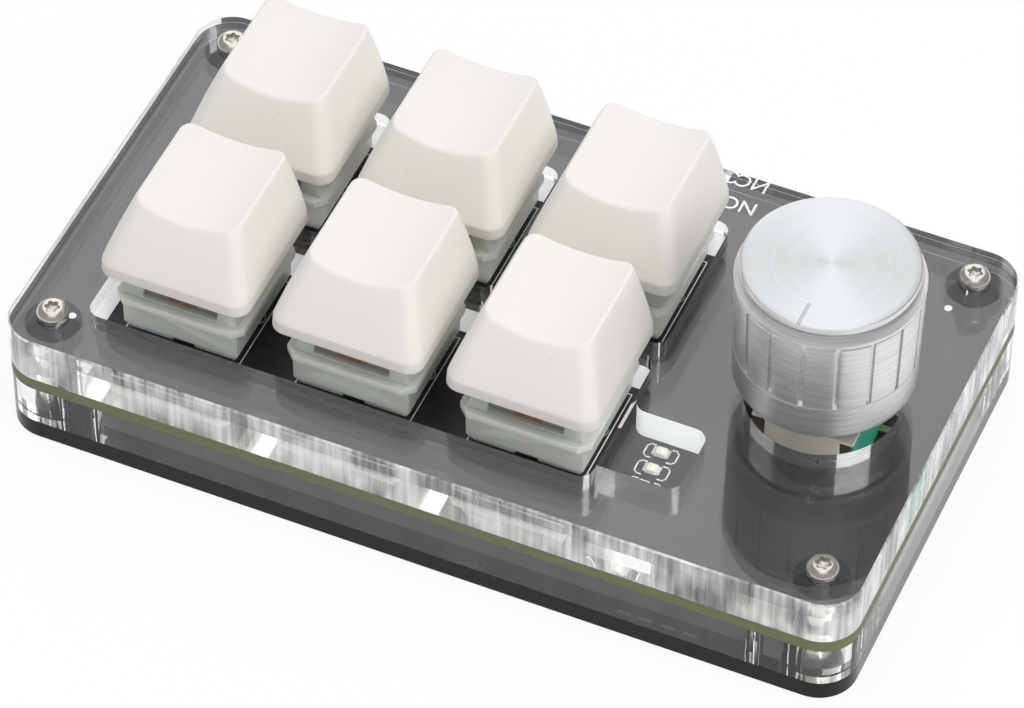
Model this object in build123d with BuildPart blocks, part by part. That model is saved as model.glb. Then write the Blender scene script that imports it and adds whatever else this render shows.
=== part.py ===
import os

from build123d import *

os.makedirs("parts", exist_ok=True)

# Macro keypad: six keys and one turning, pressing knob in a stack of flat plates.
# Millimetres, +Z up, +X along the long side towards the knob, +Y away from the user.
# The origin is the centre of the case on the surface that it stands on.

# Margins of the case round its windows, and the stack of plates from the bottom up
left_margin = 8.0
front_margin = 8.4
back_margin = 6.5
window_to_knob = 18.6
knob_to_right_end = 14.0
case_corner_radius = 4.5
plate_edge_chamfer = 0.2
bottom_plate_thickness = 2.6
lower_spacer_thickness = 5.4
board_thickness = 1.6
upper_spacer_thickness = 4.0
top_plate_thickness = 2.0

# Screws and standoffs
screw_inset = 4.85
screw_shank_radius = 1.0
screw_hole_clearance = 0.2
thread_clearance = 0.04
top_screw_length = 10.0
top_screw_head_radius = 1.85
top_screw_head_height = 1.3
top_screw_recess_depth = 0.7
top_screw_recess_radius = 0.85
bottom_screw_length = 5.0
bottom_screw_head_radius = 1.9
countersink_clearance = 0.08
standoff_radius = 1.75
standoff_hole_radius = 3.0

# Hollow of the lower spacer
spacer_wall = 2.6
spacer_corner_block = 10.4
spacer_hollow_radius = 2.0

# Keys: two rows of three
column_pitch = 20.8
row_pitch = 21.9
window_width = 18.8
window_depth = 19.0
window_radius = 1.6

# Keycap
cap_base_size = 18.1
cap_base_radius = 1.8
cap_band_height = 1.5
cap_band_draft = 0.1
cap_height = 8.8
cap_top_width = 12.0
cap_top_depth = 13.0
cap_top_radius = 1.3
cap_top_shift = 1.95
cap_wall = 1.25
cap_roof = 1.4
cap_dish_radius = 18.5
cap_dish_floor = 7.6
cap_base_above_board = 10.2
cap_socket_radius = 2.75
cap_inner_radius = 0.8

# Key switch
key_travel = 4.0
switch_body_size = 14.0
switch_foot_size = 12.6
switch_foot_height = 1.5
switch_flange_size = 15.6
switch_flange_bottom = 5.0
switch_flange_top = 6.0
switch_flange_chamfer = 1.2
switch_floor = 1.2
switch_wall = 1.1
switch_roof_size = 10.2
switch_roof_top = 11.6
switch_roof_thickness = 1.0
switch_lamp_slot_width = 9.0
switch_lamp_slot_height = 1.8
switch_lamp_slot_bottom = 6.3
switch_foot_notch_width = 2.8
switch_foot_notch_height = 0.9
switch_front_groove_width = 5.0
switch_front_groove_height = 0.5
switch_front_groove_depth = 0.3
switch_front_groove_bottom = 4.1
centre_pin_radius = 1.99
centre_pin_length = 3.2
post_top = 2.8

# Plunger of the key switch
stem_shoulder_width = 6.9
stem_shoulder_depth = 5.5
stem_opening_clearance = 0.1
stem_collar_width = 8.0
stem_collar_depth = 7.2
stem_collar_bottom = 7.0
stem_collar_gap = 0.1
stem_cross_length = 4.05
stem_cross_thickness = 1.25
stem_cross_height = 3.6
stem_socket_clearance = 0.04
stem_pole_radius = 1.35
stem_pole_bottom = 1.8
stem_pole_clearance = 0.08
stem_pole_floor_gap = 0.3

# Return spring and contacts of the key switch
spring_clearance = 0.2
spring_thickness = 0.35
contact_thickness = 0.2
contact_width = 2.4
contact_top = 6.2
contact_pin_radius = 0.5
contact_pin_length = 3.3
contact_pin_clearance = 0.15
contact_near_pin = (-3.81, 2.54)
contact_near_riser_y = 4.5
contact_far_pin = (2.54, 5.08)
board_pin_clearance = 0.12

# Knob
knob_y = 0.2
knob_hole_radius = 8.7
knob_height = 17.15
knob_lift = 3.95
knob_foot_radius = 9.65
knob_waist_radius = 10.1
knob_body_radius = 10.34
knob_ledge = 0.08
knob_rim_radius = 10.1
knob_disc_radius = 9.75
knob_neck_radius = 9.6
knob_disc_thickness = 0.8
knob_neck_height = 0.25
knob_rim_height = 0.9
knob_shoulder_height = 0.45
knob_foot_height = 0.7
flute_count = 16
flute_width = 0.55
flute_depth = 0.4
flute_bottom = 5.05
flute_turn = 5.25
index_width = 0.4
index_depth = 0.15
index_start = 6.4
index_end = 9.5
knob_recess_radius = 8.2
knob_recess_depth = 2.85
insert_radius = 5.5
insert_fit = 0.02
insert_rib_count = 6

# Rotary encoder under the knob
encoder_cage_width = 11.8
encoder_cage_depth = 12.4
encoder_cage_height = 6.8
encoder_sheet = 0.4
encoder_flap_width = 8.7
encoder_flap_lift = 0.2
encoder_lug_width = 2.0
encoder_lug_length = 2.2
encoder_base_clearance = 0.05
encoder_chamber_radius = 4.8
encoder_floor = 1.4
dome_radius = 2.4
dome_pocket_depth = 1.0
dome_rise = 0.35
dome_thickness = 0.12
rotor_radius = 4.6
rotor_height = 4.0
rotor_detents = 20
rotor_detent_radius = 0.3
bushing_radius = 3.5
bushing_height = 5.0
bushing_flange_radius = 4.6
bushing_flange_height = 0.7
shaft_radius = 3.0
shaft_clearance = 0.05
shaft_length = 15.0
shaft_flat = 1.5
shaft_flat_length = 9.4
shaft_tail_radius = 2.0
shaft_tail_flat = 1.2
shaft_tail_gap = 0.15
push_travel = 0.5
encoder_pin_radius = 0.45
encoder_pin_length = 3.4
encoder_pin_spacing = 2.5
encoder_pin_row_x = 7.4
encoder_pin_height = 0.9

# Port at the back edge, on top of the board
port_from_last_column = 1.0
port_width = 8.94
port_height = 3.16
port_depth = 7.3
port_wall = 0.3
port_overhang = 0.4
port_corner_radius = 1.2
port_notch_width = 10.0
tongue_width = 6.7
tongue_height = 0.7
tongue_depth = 5.2

# Slide switch at the back edge, under the board
power_from_last_column = 12.0
power_width = 6.7
power_depth = 2.7
power_height = 1.4
power_inset = 0.3
power_slot_width = 3.5
power_slot_height = 1.0
power_slot_depth = 1.2
power_lever_width = 1.3
power_lever_length = 2.4
power_travel = 2.0
power_clearance = 0.05
power_notch_width = 8.0
power_pin_width = 0.5

# Small lamps in the notch of the upper spacer, and parts under the board
lamp_from_window = 4.17
lamp_from_front_row = 0.6
lamp_pitch = 2.6
lamp_length = 2.0
lamp_width = 1.25
lamp_height = 0.75
lamp_bay_side_gap = 3.93
lamp_bay_back_gap = 0.975
lamp_bay_front_gap = 1.775
lamp_bay_corner_radius = 1.5
controller_from_last_column = 3.5
controller_wall_gap = 0.8
controller_size = 7.0
controller_height = 1.0
crystal_gap = 2.0
crystal_length = 3.2
crystal_width = 2.5
crystal_height = 0.8
chip_length = 1.6
chip_width = 0.8
chip_height = 0.5
chip_pitch = 2.6
chip_columns = 4
chip_rows = 2
chips_from_last_column = 18.5
chips_wall_gap = 1.1
test_ring_side = 3.3
test_ring_forward = 10.95
test_ring_pitch = 1.5
test_ring_radius = 0.4

# Heights worked out from the stack
lower_spacer_z = bottom_plate_thickness
board_z = lower_spacer_z + lower_spacer_thickness
board_top = board_z + board_thickness
upper_spacer_z = board_top
top_plate_z = upper_spacer_z + upper_spacer_thickness
case_top = top_plate_z + top_plate_thickness

row_window_length = 2 * column_pitch + window_width
case_length = left_margin + row_window_length + window_to_knob + knob_to_right_end
case_width = front_margin + row_pitch + window_depth + back_margin
keys_centre_x = left_margin + row_window_length / 2 - case_length / 2
keys_centre_y = (front_margin - back_margin) / 2
knob_x = case_length / 2 - knob_to_right_end
window_right = keys_centre_x + row_window_length / 2
screw_x = case_length / 2 - screw_inset
screw_y = case_width / 2 - screw_inset
screw_places = [(x, y) for x in (-screw_x, screw_x) for y in (-screw_y, screw_y)]
column_x = [keys_centre_x + step * column_pitch for step in (-1, 0, 1)]
front_row_y = keys_centre_y - row_pitch / 2
back_row_y = keys_centre_y + row_pitch / 2
key_places = [(x, y) for y in (front_row_y, back_row_y) for x in column_x]
last_column_x = column_x[-1]
screw_hole_radius = screw_shank_radius + screw_hole_clearance


def finish(piece, name):
    """Names a finished piece and writes it to its own file."""
    piece.part.label = name
    export_step(piece.part, f"parts/{name}.step")


def plate_blank(thickness, z, name):
    """Starts a plate of the stack: the case outline with its four screw holes."""
    with BuildPart() as plate:
        with BuildSketch(Plane.XY.offset(z)):
            RectangleRounded(case_length, case_width, case_corner_radius)
            with Locations(*screw_places):
                Circle(screw_hole_radius, mode=Mode.SUBTRACT)
        extrude(amount=thickness)
    plate.part.label = name
    return plate.part


# Windows that the two clear plates over the board share
with BuildSketch() as windows:
    with Locations((keys_centre_x, front_row_y)):
        RectangleRounded(row_window_length, window_depth, window_radius)
    with Locations(*[(x, back_row_y) for x in column_x]):
        RectangleRounded(window_width, window_depth, window_radius)
    with Locations((knob_x, knob_y)):
        Circle(knob_hole_radius)

# Top plate
with BuildPart() as top_plate:
    add(plate_blank(top_plate_thickness, top_plate_z, "top_plate"))
    with BuildSketch(Plane.XY.offset(top_plate_z)):
        add(windows.sketch)
    extrude(amount=top_plate_thickness, mode=Mode.SUBTRACT)
    top_rim = top_plate.faces().sort_by(Axis.Z)[-1].outer_wire().edges()
    chamfer(top_rim, length=plate_edge_chamfer)
finish(top_plate, "top_plate")

# Upper spacer: the same windows, a bay over the small lamps and a notch for the port
lamp_x = window_right + lamp_from_window
lamp_middle_y = front_row_y - lamp_from_front_row - lamp_pitch
lamp_row_length = 2 * lamp_pitch + lamp_width
lamp_bay_left = last_column_x
lamp_bay_length = lamp_x + lamp_length / 2 + lamp_bay_side_gap - lamp_bay_left
lamp_bay_depth = lamp_row_length + lamp_bay_back_gap + lamp_bay_front_gap
lamp_bay_front = lamp_middle_y - lamp_row_length / 2 - lamp_bay_front_gap
port_x = last_column_x + port_from_last_column
port_notch_front = back_row_y
port_notch_length = case_width / 2 - port_notch_front + case_corner_radius
with BuildPart() as upper_spacer:
    add(plate_blank(upper_spacer_thickness, upper_spacer_z, "upper_spacer"))
    with BuildSketch(Plane.XY.offset(upper_spacer_z)) as spacer_cut:
        add(windows.sketch)
        with Locations((lamp_bay_left + lamp_bay_length / 2, lamp_bay_front + lamp_bay_depth / 2)):
            RectangleRounded(lamp_bay_length, lamp_bay_depth, window_radius)
        bay_corner = spacer_cut.vertices().sort_by_distance((window_right, lamp_bay_front + lamp_bay_depth))[0]
        fillet(bay_corner, radius=lamp_bay_corner_radius)
        with Locations((port_x, port_notch_front + port_notch_length / 2)):
            Rectangle(port_notch_width, port_notch_length)
    extrude(amount=upper_spacer_thickness, mode=Mode.SUBTRACT)
finish(upper_spacer, "upper_spacer")

# Circuit board with its holes for the switches, the encoder and the test rings
encoder_lug_y = encoder_cage_depth / 2 - encoder_sheet / 2
encoder_pins = [(-encoder_pin_row_x, step * encoder_pin_spacing) for step in (-1, 0, 1)]
encoder_pins += [(encoder_pin_row_x, step * encoder_pin_spacing) for step in (-1, 1)]
with BuildPart() as circuit_board:
    add(plate_blank(board_thickness, board_z, "circuit_board"))
    with BuildSketch(Plane.XY.offset(board_z)):
        with Locations(*key_places):
            Circle(centre_pin_radius + board_pin_clearance)
        with Locations(*[(x + contact_near_pin[0], y + contact_near_pin[1]) for x, y in key_places]):
            Circle(contact_pin_radius + board_pin_clearance)
        with Locations(*[(x + contact_far_pin[0], y + contact_far_pin[1]) for x, y in key_places]):
            Circle(contact_pin_radius + board_pin_clearance)
        with Locations(*[(knob_x + x, knob_y + y) for x, y in encoder_pins]):
            Circle(encoder_pin_radius + board_pin_clearance)
        with Locations((knob_x, knob_y - encoder_lug_y), (knob_x, knob_y + encoder_lug_y)):
            Rectangle(encoder_lug_width + 2 * board_pin_clearance, encoder_sheet + 2 * board_pin_clearance)
        with Locations((knob_x + test_ring_side, knob_y - test_ring_forward)):
            with GridLocations(0, test_ring_pitch, 1, 2):
                Circle(test_ring_radius)
    extrude(amount=board_thickness, mode=Mode.SUBTRACT)
finish(circuit_board, "circuit_board")

# Lower spacer: a clear frame, solid at the corners, open at the back for the slide switch
hollow_length = case_length - 2 * spacer_wall
hollow_width = case_width - 2 * spacer_wall
power_x = last_column_x + power_from_last_column
with BuildPart() as lower_spacer:
    with BuildSketch(Plane.XY.offset(lower_spacer_z)):
        RectangleRounded(case_length, case_width, case_corner_radius)
        with Locations(*screw_places):
            Circle(standoff_hole_radius, mode=Mode.SUBTRACT)
        RectangleRounded(
            case_length - 2 * spacer_corner_block, hollow_width, spacer_hollow_radius, mode=Mode.SUBTRACT
        )
        RectangleRounded(
            hollow_length, case_width - 2 * spacer_corner_block, spacer_hollow_radius, mode=Mode.SUBTRACT
        )
        with Locations((power_x, case_width / 2)):
            Rectangle(power_notch_width, 4 * spacer_wall, mode=Mode.SUBTRACT)
    extrude(amount=lower_spacer_thickness)
finish(lower_spacer, "lower_spacer")

# Bottom plate with countersunk holes
countersink_radius = bottom_screw_head_radius + 2 * countersink_clearance
with BuildPart() as bottom_plate:
    add(plate_blank(bottom_plate_thickness, 0, "bottom_plate"))
    chamfer(bottom_plate.faces().sort_by(Axis.Z)[0].outer_wire().edges(), length=plate_edge_chamfer)
    with Locations(Plane.XY.rotated((180, 0, 0))):
        with Locations(*screw_places):
            CounterSinkHole(screw_hole_radius, countersink_radius, counter_sink_angle=90)
finish(bottom_plate, "bottom_plate")

# Standoffs in the corner holes of the lower spacer
with BuildPart() as standoffs:
    with BuildSketch(Plane.XY.offset(lower_spacer_z)):
        with Locations(*screw_places):
            Circle(standoff_radius)
            Circle(screw_shank_radius + thread_clearance, mode=Mode.SUBTRACT)
    extrude(amount=lower_spacer_thickness)
finish(standoffs, "standoffs")

# Pan-head screws from above, through both clear plates and the board into the standoffs
with BuildPart() as top_screws:
    with BuildSketch(Plane.XY.offset(case_top - top_screw_length)):
        with Locations(*screw_places):
            Circle(screw_shank_radius)
    extrude(amount=top_screw_length)
    with BuildSketch(Plane.XY.offset(case_top)):
        with Locations(*screw_places):
            Circle(top_screw_head_radius)
    extrude(amount=top_screw_head_height)
    head_rims = top_screws.faces().group_by(Axis.Z)[-1].edges()
    fillet(head_rims, radius=0.6 * top_screw_head_height)
    with BuildSketch(Plane.XY.offset(case_top + top_screw_head_height)):
        with Locations(*screw_places):
            RegularPolygon(top_screw_recess_radius, 6)
    extrude(amount=-top_screw_recess_depth, mode=Mode.SUBTRACT)
finish(top_screws, "top_screws")

# Countersunk screws from below into the standoffs, flush with the bottom plate
bottom_screw_cone = bottom_screw_head_radius - screw_shank_radius
bottom_screw_z = countersink_clearance
with BuildPart() as bottom_screws:
    for place in screw_places:
        with BuildSketch(Plane.XY.offset(bottom_screw_z)):
            with Locations(place):
                Circle(bottom_screw_head_radius)
        with BuildSketch(Plane.XY.offset(bottom_screw_z + bottom_screw_cone)):
            with Locations(place):
                Circle(screw_shank_radius)
        loft(ruled=True)
    with BuildSketch(Plane.XY.offset(bottom_screw_z)):
        with Locations(*screw_places):
            Circle(screw_shank_radius)
    extrude(amount=bottom_screw_length - bottom_screw_z)
    with BuildSketch(Plane.XY.offset(bottom_screw_z)):
        with Locations(*screw_places):
            RegularPolygon(top_screw_recess_radius, 6)
    extrude(amount=top_screw_recess_depth, mode=Mode.SUBTRACT)
finish(bottom_screws, "bottom_screws")


def cap_size_at(height):
    """Outer width, depth and shift of the cap's tapered part at a height above its base."""
    share = (height - cap_band_height) / (cap_height - cap_band_height)
    band_size = cap_base_size - 2 * cap_band_draft
    width = band_size + share * (cap_top_width - band_size)
    depth = band_size + share * (cap_top_depth - band_size)
    return width, depth, share * cap_top_shift


# Keycap: drawn skirt, tapered sides, a scooped top and a cross socket inside
cap_base_z = board_top + cap_base_above_board
cap_ceiling = cap_dish_floor - cap_roof
band_top_size = cap_base_size - 2 * cap_band_draft
inner_band = cap_base_size - 2 * cap_wall
inner_width, inner_depth, inner_shift = cap_size_at(cap_ceiling)
stem_shoulder_top = switch_roof_top
socket_slot_length = stem_cross_length + 2 * stem_socket_clearance
socket_slot_width = stem_cross_thickness + 2 * stem_socket_clearance
with BuildPart() as keycap:
    with BuildSketch(Plane.XY.offset(cap_base_z)):
        RectangleRounded(cap_base_size, cap_base_size, cap_base_radius)
    with BuildSketch(Plane.XY.offset(cap_base_z + cap_band_height)):
        RectangleRounded(band_top_size, band_top_size, cap_base_radius)
    with BuildSketch(Plane.XY.offset(cap_base_z + cap_height)):
        with Locations((0, cap_top_shift)):
            RectangleRounded(cap_top_width, cap_top_depth, cap_top_radius)
    loft(ruled=True)
    with BuildSketch(Plane.XZ):
        with Locations((0, cap_base_z + cap_dish_floor + cap_dish_radius)):
            Circle(cap_dish_radius)
    extrude(amount=cap_base_size, both=True, mode=Mode.SUBTRACT)
    with BuildSketch(Plane.XY.offset(cap_base_z)):
        RectangleRounded(inner_band, inner_band, cap_inner_radius)
    with BuildSketch(Plane.XY.offset(cap_base_z + cap_band_height)):
        RectangleRounded(inner_band - 2 * cap_band_draft, inner_band - 2 * cap_band_draft, cap_inner_radius)
    with BuildSketch(Plane.XY.offset(cap_base_z + cap_ceiling)):
        with Locations((0, inner_shift)):
            RectangleRounded(inner_width - 2 * cap_wall, inner_depth - 2 * cap_wall, cap_inner_radius)
    loft(ruled=True, mode=Mode.SUBTRACT)
    with BuildSketch(Plane.XY.offset(board_top + stem_shoulder_top)):
        Circle(cap_socket_radius)
        Rectangle(socket_slot_length, socket_slot_width, mode=Mode.SUBTRACT)
        Rectangle(socket_slot_width, socket_slot_length, mode=Mode.SUBTRACT)
    extrude(amount=cap_base_z + cap_ceiling - board_top - stem_shoulder_top)

# Lower housing of the key switch: tapered foot, flange, centre pin and guide post
flange_height = switch_flange_top - switch_flange_bottom
pole_bore_radius = stem_pole_radius + stem_pole_clearance
contact_hole_radius = contact_pin_radius + contact_pin_clearance
pole_bore_floor = stem_pole_bottom - key_travel - stem_pole_floor_gap
with BuildPart() as switch_base:
    with BuildSketch(Plane.XY.offset(board_top)):
        Rectangle(switch_foot_size, switch_foot_size)
    with BuildSketch(Plane.XY.offset(board_top + switch_foot_height)):
        Rectangle(switch_body_size, switch_body_size)
    loft(ruled=True)
    with BuildSketch(Plane.XY.offset(board_top + switch_foot_height)):
        Rectangle(switch_body_size, switch_body_size)
    extrude(amount=switch_flange_bottom - switch_foot_height)
    with BuildSketch(Plane.XY.offset(board_top + switch_flange_bottom)) as flange:
        Rectangle(switch_flange_size, switch_flange_size)
        chamfer(flange.vertices(), length=switch_flange_chamfer)
    extrude(amount=flange_height)
    with BuildSketch(Plane.XY.offset(board_top + switch_floor)):
        Rectangle(switch_body_size - 2 * switch_wall, switch_body_size - 2 * switch_wall)
        Circle(centre_pin_radius, mode=Mode.SUBTRACT)
    extrude(amount=switch_flange_top - switch_floor, mode=Mode.SUBTRACT)
    with BuildSketch(Plane.XY.offset(board_top + post_top)):
        Circle(2 * centre_pin_radius)
    extrude(amount=switch_flange_top - post_top, mode=Mode.SUBTRACT)
    with BuildSketch(Plane.XY.offset(board_top - centre_pin_length)):
        Circle(centre_pin_radius)
    extrude(amount=centre_pin_length)
    with BuildSketch(Plane.XY.offset(board_top + pole_bore_floor)):
        Circle(pole_bore_radius)
    extrude(amount=post_top - pole_bore_floor, mode=Mode.SUBTRACT)
    with BuildSketch(Plane.XY.offset(board_top)):
        with Locations(contact_near_pin, contact_far_pin):
            Circle(contact_hole_radius)
    extrude(amount=switch_floor, mode=Mode.SUBTRACT)
    with BuildSketch(Plane.XZ.offset(switch_body_size / 2 - switch_front_groove_depth)):
        with Locations((0, board_top + switch_front_groove_bottom + switch_front_groove_height / 2)):
            Rectangle(switch_front_groove_width, switch_front_groove_height)
    extrude(amount=switch_wall, mode=Mode.SUBTRACT)
    with BuildSketch(Plane.XZ.offset(switch_foot_size / 2 - switch_wall)):
        with Locations((0, board_top + switch_foot_notch_height / 2)):
            Rectangle(switch_foot_notch_width, switch_foot_notch_height)
    extrude(amount=2 * switch_wall, mode=Mode.SUBTRACT)

# Upper housing of the key switch: tapered hood with a lamp slot in front and the stem opening on top
hood_inner_base = switch_body_size - 2 * switch_wall
hood_inner_roof = switch_roof_size - 2 * switch_wall
stem_opening_width = stem_shoulder_width + 2 * stem_opening_clearance
stem_opening_depth = stem_shoulder_depth + 2 * stem_opening_clearance
with BuildPart() as switch_top:
    with BuildSketch(Plane.XY.offset(board_top + switch_flange_top)):
        Rectangle(switch_body_size, switch_body_size)
    with BuildSketch(Plane.XY.offset(board_top + switch_roof_top)):
        Rectangle(switch_roof_size, switch_roof_size)
    loft(ruled=True)
    with BuildSketch(Plane.XY.offset(board_top + switch_flange_top)):
        Rectangle(hood_inner_base, hood_inner_base)
    with BuildSketch(Plane.XY.offset(board_top + switch_roof_top - switch_roof_thickness)):
        Rectangle(hood_inner_roof, hood_inner_roof)
    loft(ruled=True, mode=Mode.SUBTRACT)
    with BuildSketch(Plane.XY.offset(board_top + switch_roof_top)):
        Rectangle(stem_opening_width, stem_opening_depth)
    extrude(amount=-2 * switch_roof_thickness, mode=Mode.SUBTRACT)
    with BuildSketch(Plane.XZ.offset(hood_inner_roof / 2)):
        with Locations((0, board_top + switch_lamp_slot_bottom + switch_lamp_slot_height / 2)):
            Rectangle(switch_lamp_slot_width, switch_lamp_slot_height)
    extrude(amount=switch_body_size, mode=Mode.SUBTRACT)

# Plunger: guide pole, stop collar, shoulder and the cross that carries the cap
stem_collar_top = switch_roof_top - switch_roof_thickness - stem_collar_gap
with BuildPart() as switch_stem:
    with BuildSketch(Plane.XY.offset(board_top + stem_pole_bottom)):
        Circle(stem_pole_radius)
    extrude(amount=stem_collar_bottom - stem_pole_bottom)
    with BuildSketch(Plane.XY.offset(board_top + stem_collar_bottom)):
        Rectangle(stem_collar_width, stem_collar_depth)
    extrude(amount=stem_collar_top - stem_collar_bottom)
    with BuildSketch(Plane.XY.offset(board_top + stem_collar_top)):
        Rectangle(stem_shoulder_width, stem_shoulder_depth)
    extrude(amount=stem_shoulder_top - stem_collar_top)
    with BuildSketch(Plane.XY.offset(board_top + stem_shoulder_top)):
        Rectangle(stem_cross_length, stem_cross_thickness)
        Rectangle(stem_cross_thickness, stem_cross_length)
    extrude(amount=stem_cross_height)

# Return spring: its closed envelope round the guide post, from the floor to the collar
spring_inner_radius = centre_pin_radius + spring_clearance
with BuildPart() as switch_spring:
    with BuildSketch(Plane.XY.offset(board_top + switch_floor)):
        Circle(spring_inner_radius + spring_thickness)
        Circle(spring_inner_radius, mode=Mode.SUBTRACT)
    extrude(amount=stem_collar_bottom - switch_floor)

# Contact leaves with their solder pins: a near one with a foot along the floor, and a far one
foot_length = contact_near_riser_y - contact_near_pin[1]
with BuildPart() as contact_pair:
    with BuildSketch(Plane.XY.offset(board_top + switch_floor)):
        with Locations((contact_near_pin[0], contact_near_pin[1] + foot_length / 2)):
            Rectangle(contact_width, foot_length + 2 * contact_pin_radius)
    extrude(amount=contact_thickness)
    with BuildSketch(Plane.XY.offset(board_top + switch_floor)):
        with Locations((contact_near_pin[0], contact_near_riser_y), contact_far_pin):
            Rectangle(contact_width, contact_thickness)
    extrude(amount=contact_top - switch_floor)
    with BuildSketch(Plane.XY.offset(board_top + switch_floor)):
        with Locations(contact_far_pin):
            Rectangle(contact_width, 2 * contact_pin_radius)
    extrude(amount=contact_thickness)
    with BuildSketch(Plane.XY.offset(board_top + switch_floor - contact_pin_length - switch_floor)):
        with Locations(contact_near_pin, contact_far_pin):
            Circle(contact_pin_radius)
    extrude(amount=contact_pin_length + switch_floor)

# One set of switch and cap for each key, numbered from front left to back right
key_pieces = {
    "keycap": keycap.part,
    "switch_base": switch_base.part,
    "switch_top": switch_top.part,
    "switch_stem": switch_stem.part,
    "switch_spring": switch_spring.part,
}
for number, place in enumerate(key_places, start=1):
    for kind, shape in key_pieces.items():
        with BuildPart() as key_piece:
            with Locations(place):
                add(shape)
        finish(key_piece, f"{kind}_{number}")

with BuildPart() as switch_contacts:
    with Locations(*key_places):
        add(contact_pair.part)
finish(switch_contacts, "switch_contacts")

# Encoder: moulded base with the chamber of its contact wheel and a pocket for the snap dome
knob_centre = (knob_x, knob_y)
encoder_top = board_top + encoder_cage_height
encoder_base_height = encoder_cage_height - encoder_sheet
cage_inner_depth = encoder_cage_depth - 2 * encoder_sheet
encoder_base_depth = cage_inner_depth - 2 * encoder_base_clearance
with BuildPart() as encoder_base:
    with BuildSketch(Plane.XY.offset(board_top)):
        with Locations(knob_centre):
            Rectangle(encoder_cage_width, encoder_base_depth)
    extrude(amount=encoder_base_height)
    with BuildSketch(Plane.XY.offset(board_top + encoder_floor)):
        with Locations(knob_centre):
            Circle(encoder_chamber_radius)
    extrude(amount=encoder_base_height, mode=Mode.SUBTRACT)
    with BuildSketch(Plane.XY.offset(board_top + encoder_floor - dome_pocket_depth)):
        with Locations(knob_centre):
            Circle(dome_radius + encoder_base_clearance)
    extrude(amount=dome_pocket_depth, mode=Mode.SUBTRACT)
finish(encoder_base, "encoder_base")

# Encoder cage: folded sheet with two flaps and the lugs that hold it to the board
with BuildPart() as encoder_cage:
    with BuildSketch(Plane.XY.offset(encoder_top - encoder_sheet)):
        with Locations(knob_centre):
            Rectangle(encoder_cage_width, encoder_cage_depth)
            Circle(shaft_radius + 4 * shaft_clearance, mode=Mode.SUBTRACT)
    extrude(amount=encoder_sheet)
    for side in (-1, 1):
        flap_y = knob_y + side * encoder_lug_y
        with BuildSketch(Plane.XY.offset(board_top + encoder_flap_lift)):
            with Locations((knob_x, flap_y)):
                Rectangle(encoder_flap_width, encoder_sheet)
        extrude(amount=encoder_base_height - encoder_flap_lift)
        with BuildSketch(Plane.XY.offset(board_z - encoder_lug_length + board_thickness)):
            with Locations((knob_x, flap_y)):
                Rectangle(encoder_lug_width, encoder_sheet)
        extrude(amount=encoder_lug_length + encoder_flap_lift)
finish(encoder_cage, "encoder_cage")

# Encoder bushing: threaded collar on a flange, the shaft's bearing
with BuildPart() as encoder_bushing:
    with BuildSketch(Plane.XY.offset(encoder_top)):
        with Locations(knob_centre):
            Circle(bushing_flange_radius)
    extrude(amount=bushing_flange_height)
    with BuildSketch(Plane.XY.offset(encoder_top)):
        with Locations(knob_centre):
            Circle(bushing_radius)
    extrude(amount=bushing_height)
    with BuildSketch(Plane.XY.offset(encoder_top)):
        with Locations(knob_centre):
            Circle(shaft_radius + shaft_clearance)
    extrude(amount=bushing_height, mode=Mode.SUBTRACT)
finish(encoder_bushing, "encoder_bushing")


def d_section(radius, flat):
    """A round section with one flat, towards +X."""
    Circle(radius)
    with Locations((flat + radius, 0)):
        Rectangle(2 * radius, 2 * radius, mode=Mode.SUBTRACT)


# Encoder shaft: flatted top for the knob, flatted tail that slides in the contact wheel
shaft_top = encoder_top + shaft_length
dome_top = board_top + encoder_floor - dome_pocket_depth + dome_rise + dome_thickness
shaft_bottom = dome_top + push_travel + shaft_tail_gap
shaft_shoulder_z = encoder_top + shaft_tail_gap
with BuildPart() as encoder_shaft:
    with BuildSketch(Plane.XY.offset(shaft_shoulder_z)):
        with Locations(knob_centre):
            Circle(shaft_radius)
    extrude(amount=shaft_top - shaft_shoulder_z - shaft_flat_length)
    with BuildSketch(Plane((knob_x, knob_y, shaft_top - shaft_flat_length))):
        d_section(shaft_radius, shaft_flat)
    extrude(amount=shaft_flat_length)
    with BuildSketch(Plane((knob_x, knob_y, shaft_bottom))):
        d_section(shaft_tail_radius, shaft_tail_flat)
    extrude(amount=shaft_shoulder_z - shaft_bottom)
finish(encoder_shaft, "encoder_shaft")

# Contact wheel with its ring of detents, on the shaft's tail
rotor_z = board_top + encoder_floor + shaft_clearance
with BuildPart() as encoder_rotor:
    with BuildSketch(Plane((knob_x, knob_y, rotor_z))):
        Circle(rotor_radius)
        with PolarLocations(rotor_radius, rotor_detents):
            Circle(rotor_detent_radius, mode=Mode.SUBTRACT)
    extrude(amount=rotor_height)
    with BuildSketch(Plane((knob_x, knob_y, rotor_z))):
        d_section(shaft_tail_radius + shaft_clearance, shaft_tail_flat + shaft_clearance)
    extrude(amount=rotor_height, mode=Mode.SUBTRACT)
finish(encoder_rotor, "encoder_rotor")

# Snap dome of the push contact
dome_z = board_top + encoder_floor - dome_pocket_depth
dome_plane = Plane((knob_x, knob_y, dome_z), x_dir=(1, 0, 0), z_dir=(0, -1, 0))
with BuildPart() as encoder_dome:
    with BuildSketch(dome_plane):
        with BuildLine():
            Polyline(
                (0, dome_rise),
                (dome_radius, 0),
                (dome_radius, dome_thickness),
                (0, dome_rise + dome_thickness),
                (0, dome_rise),
            )
        make_face()
    revolve(axis=Axis((knob_x, knob_y, 0), (0, 0, 1)))
finish(encoder_dome, "encoder_dome")

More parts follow.
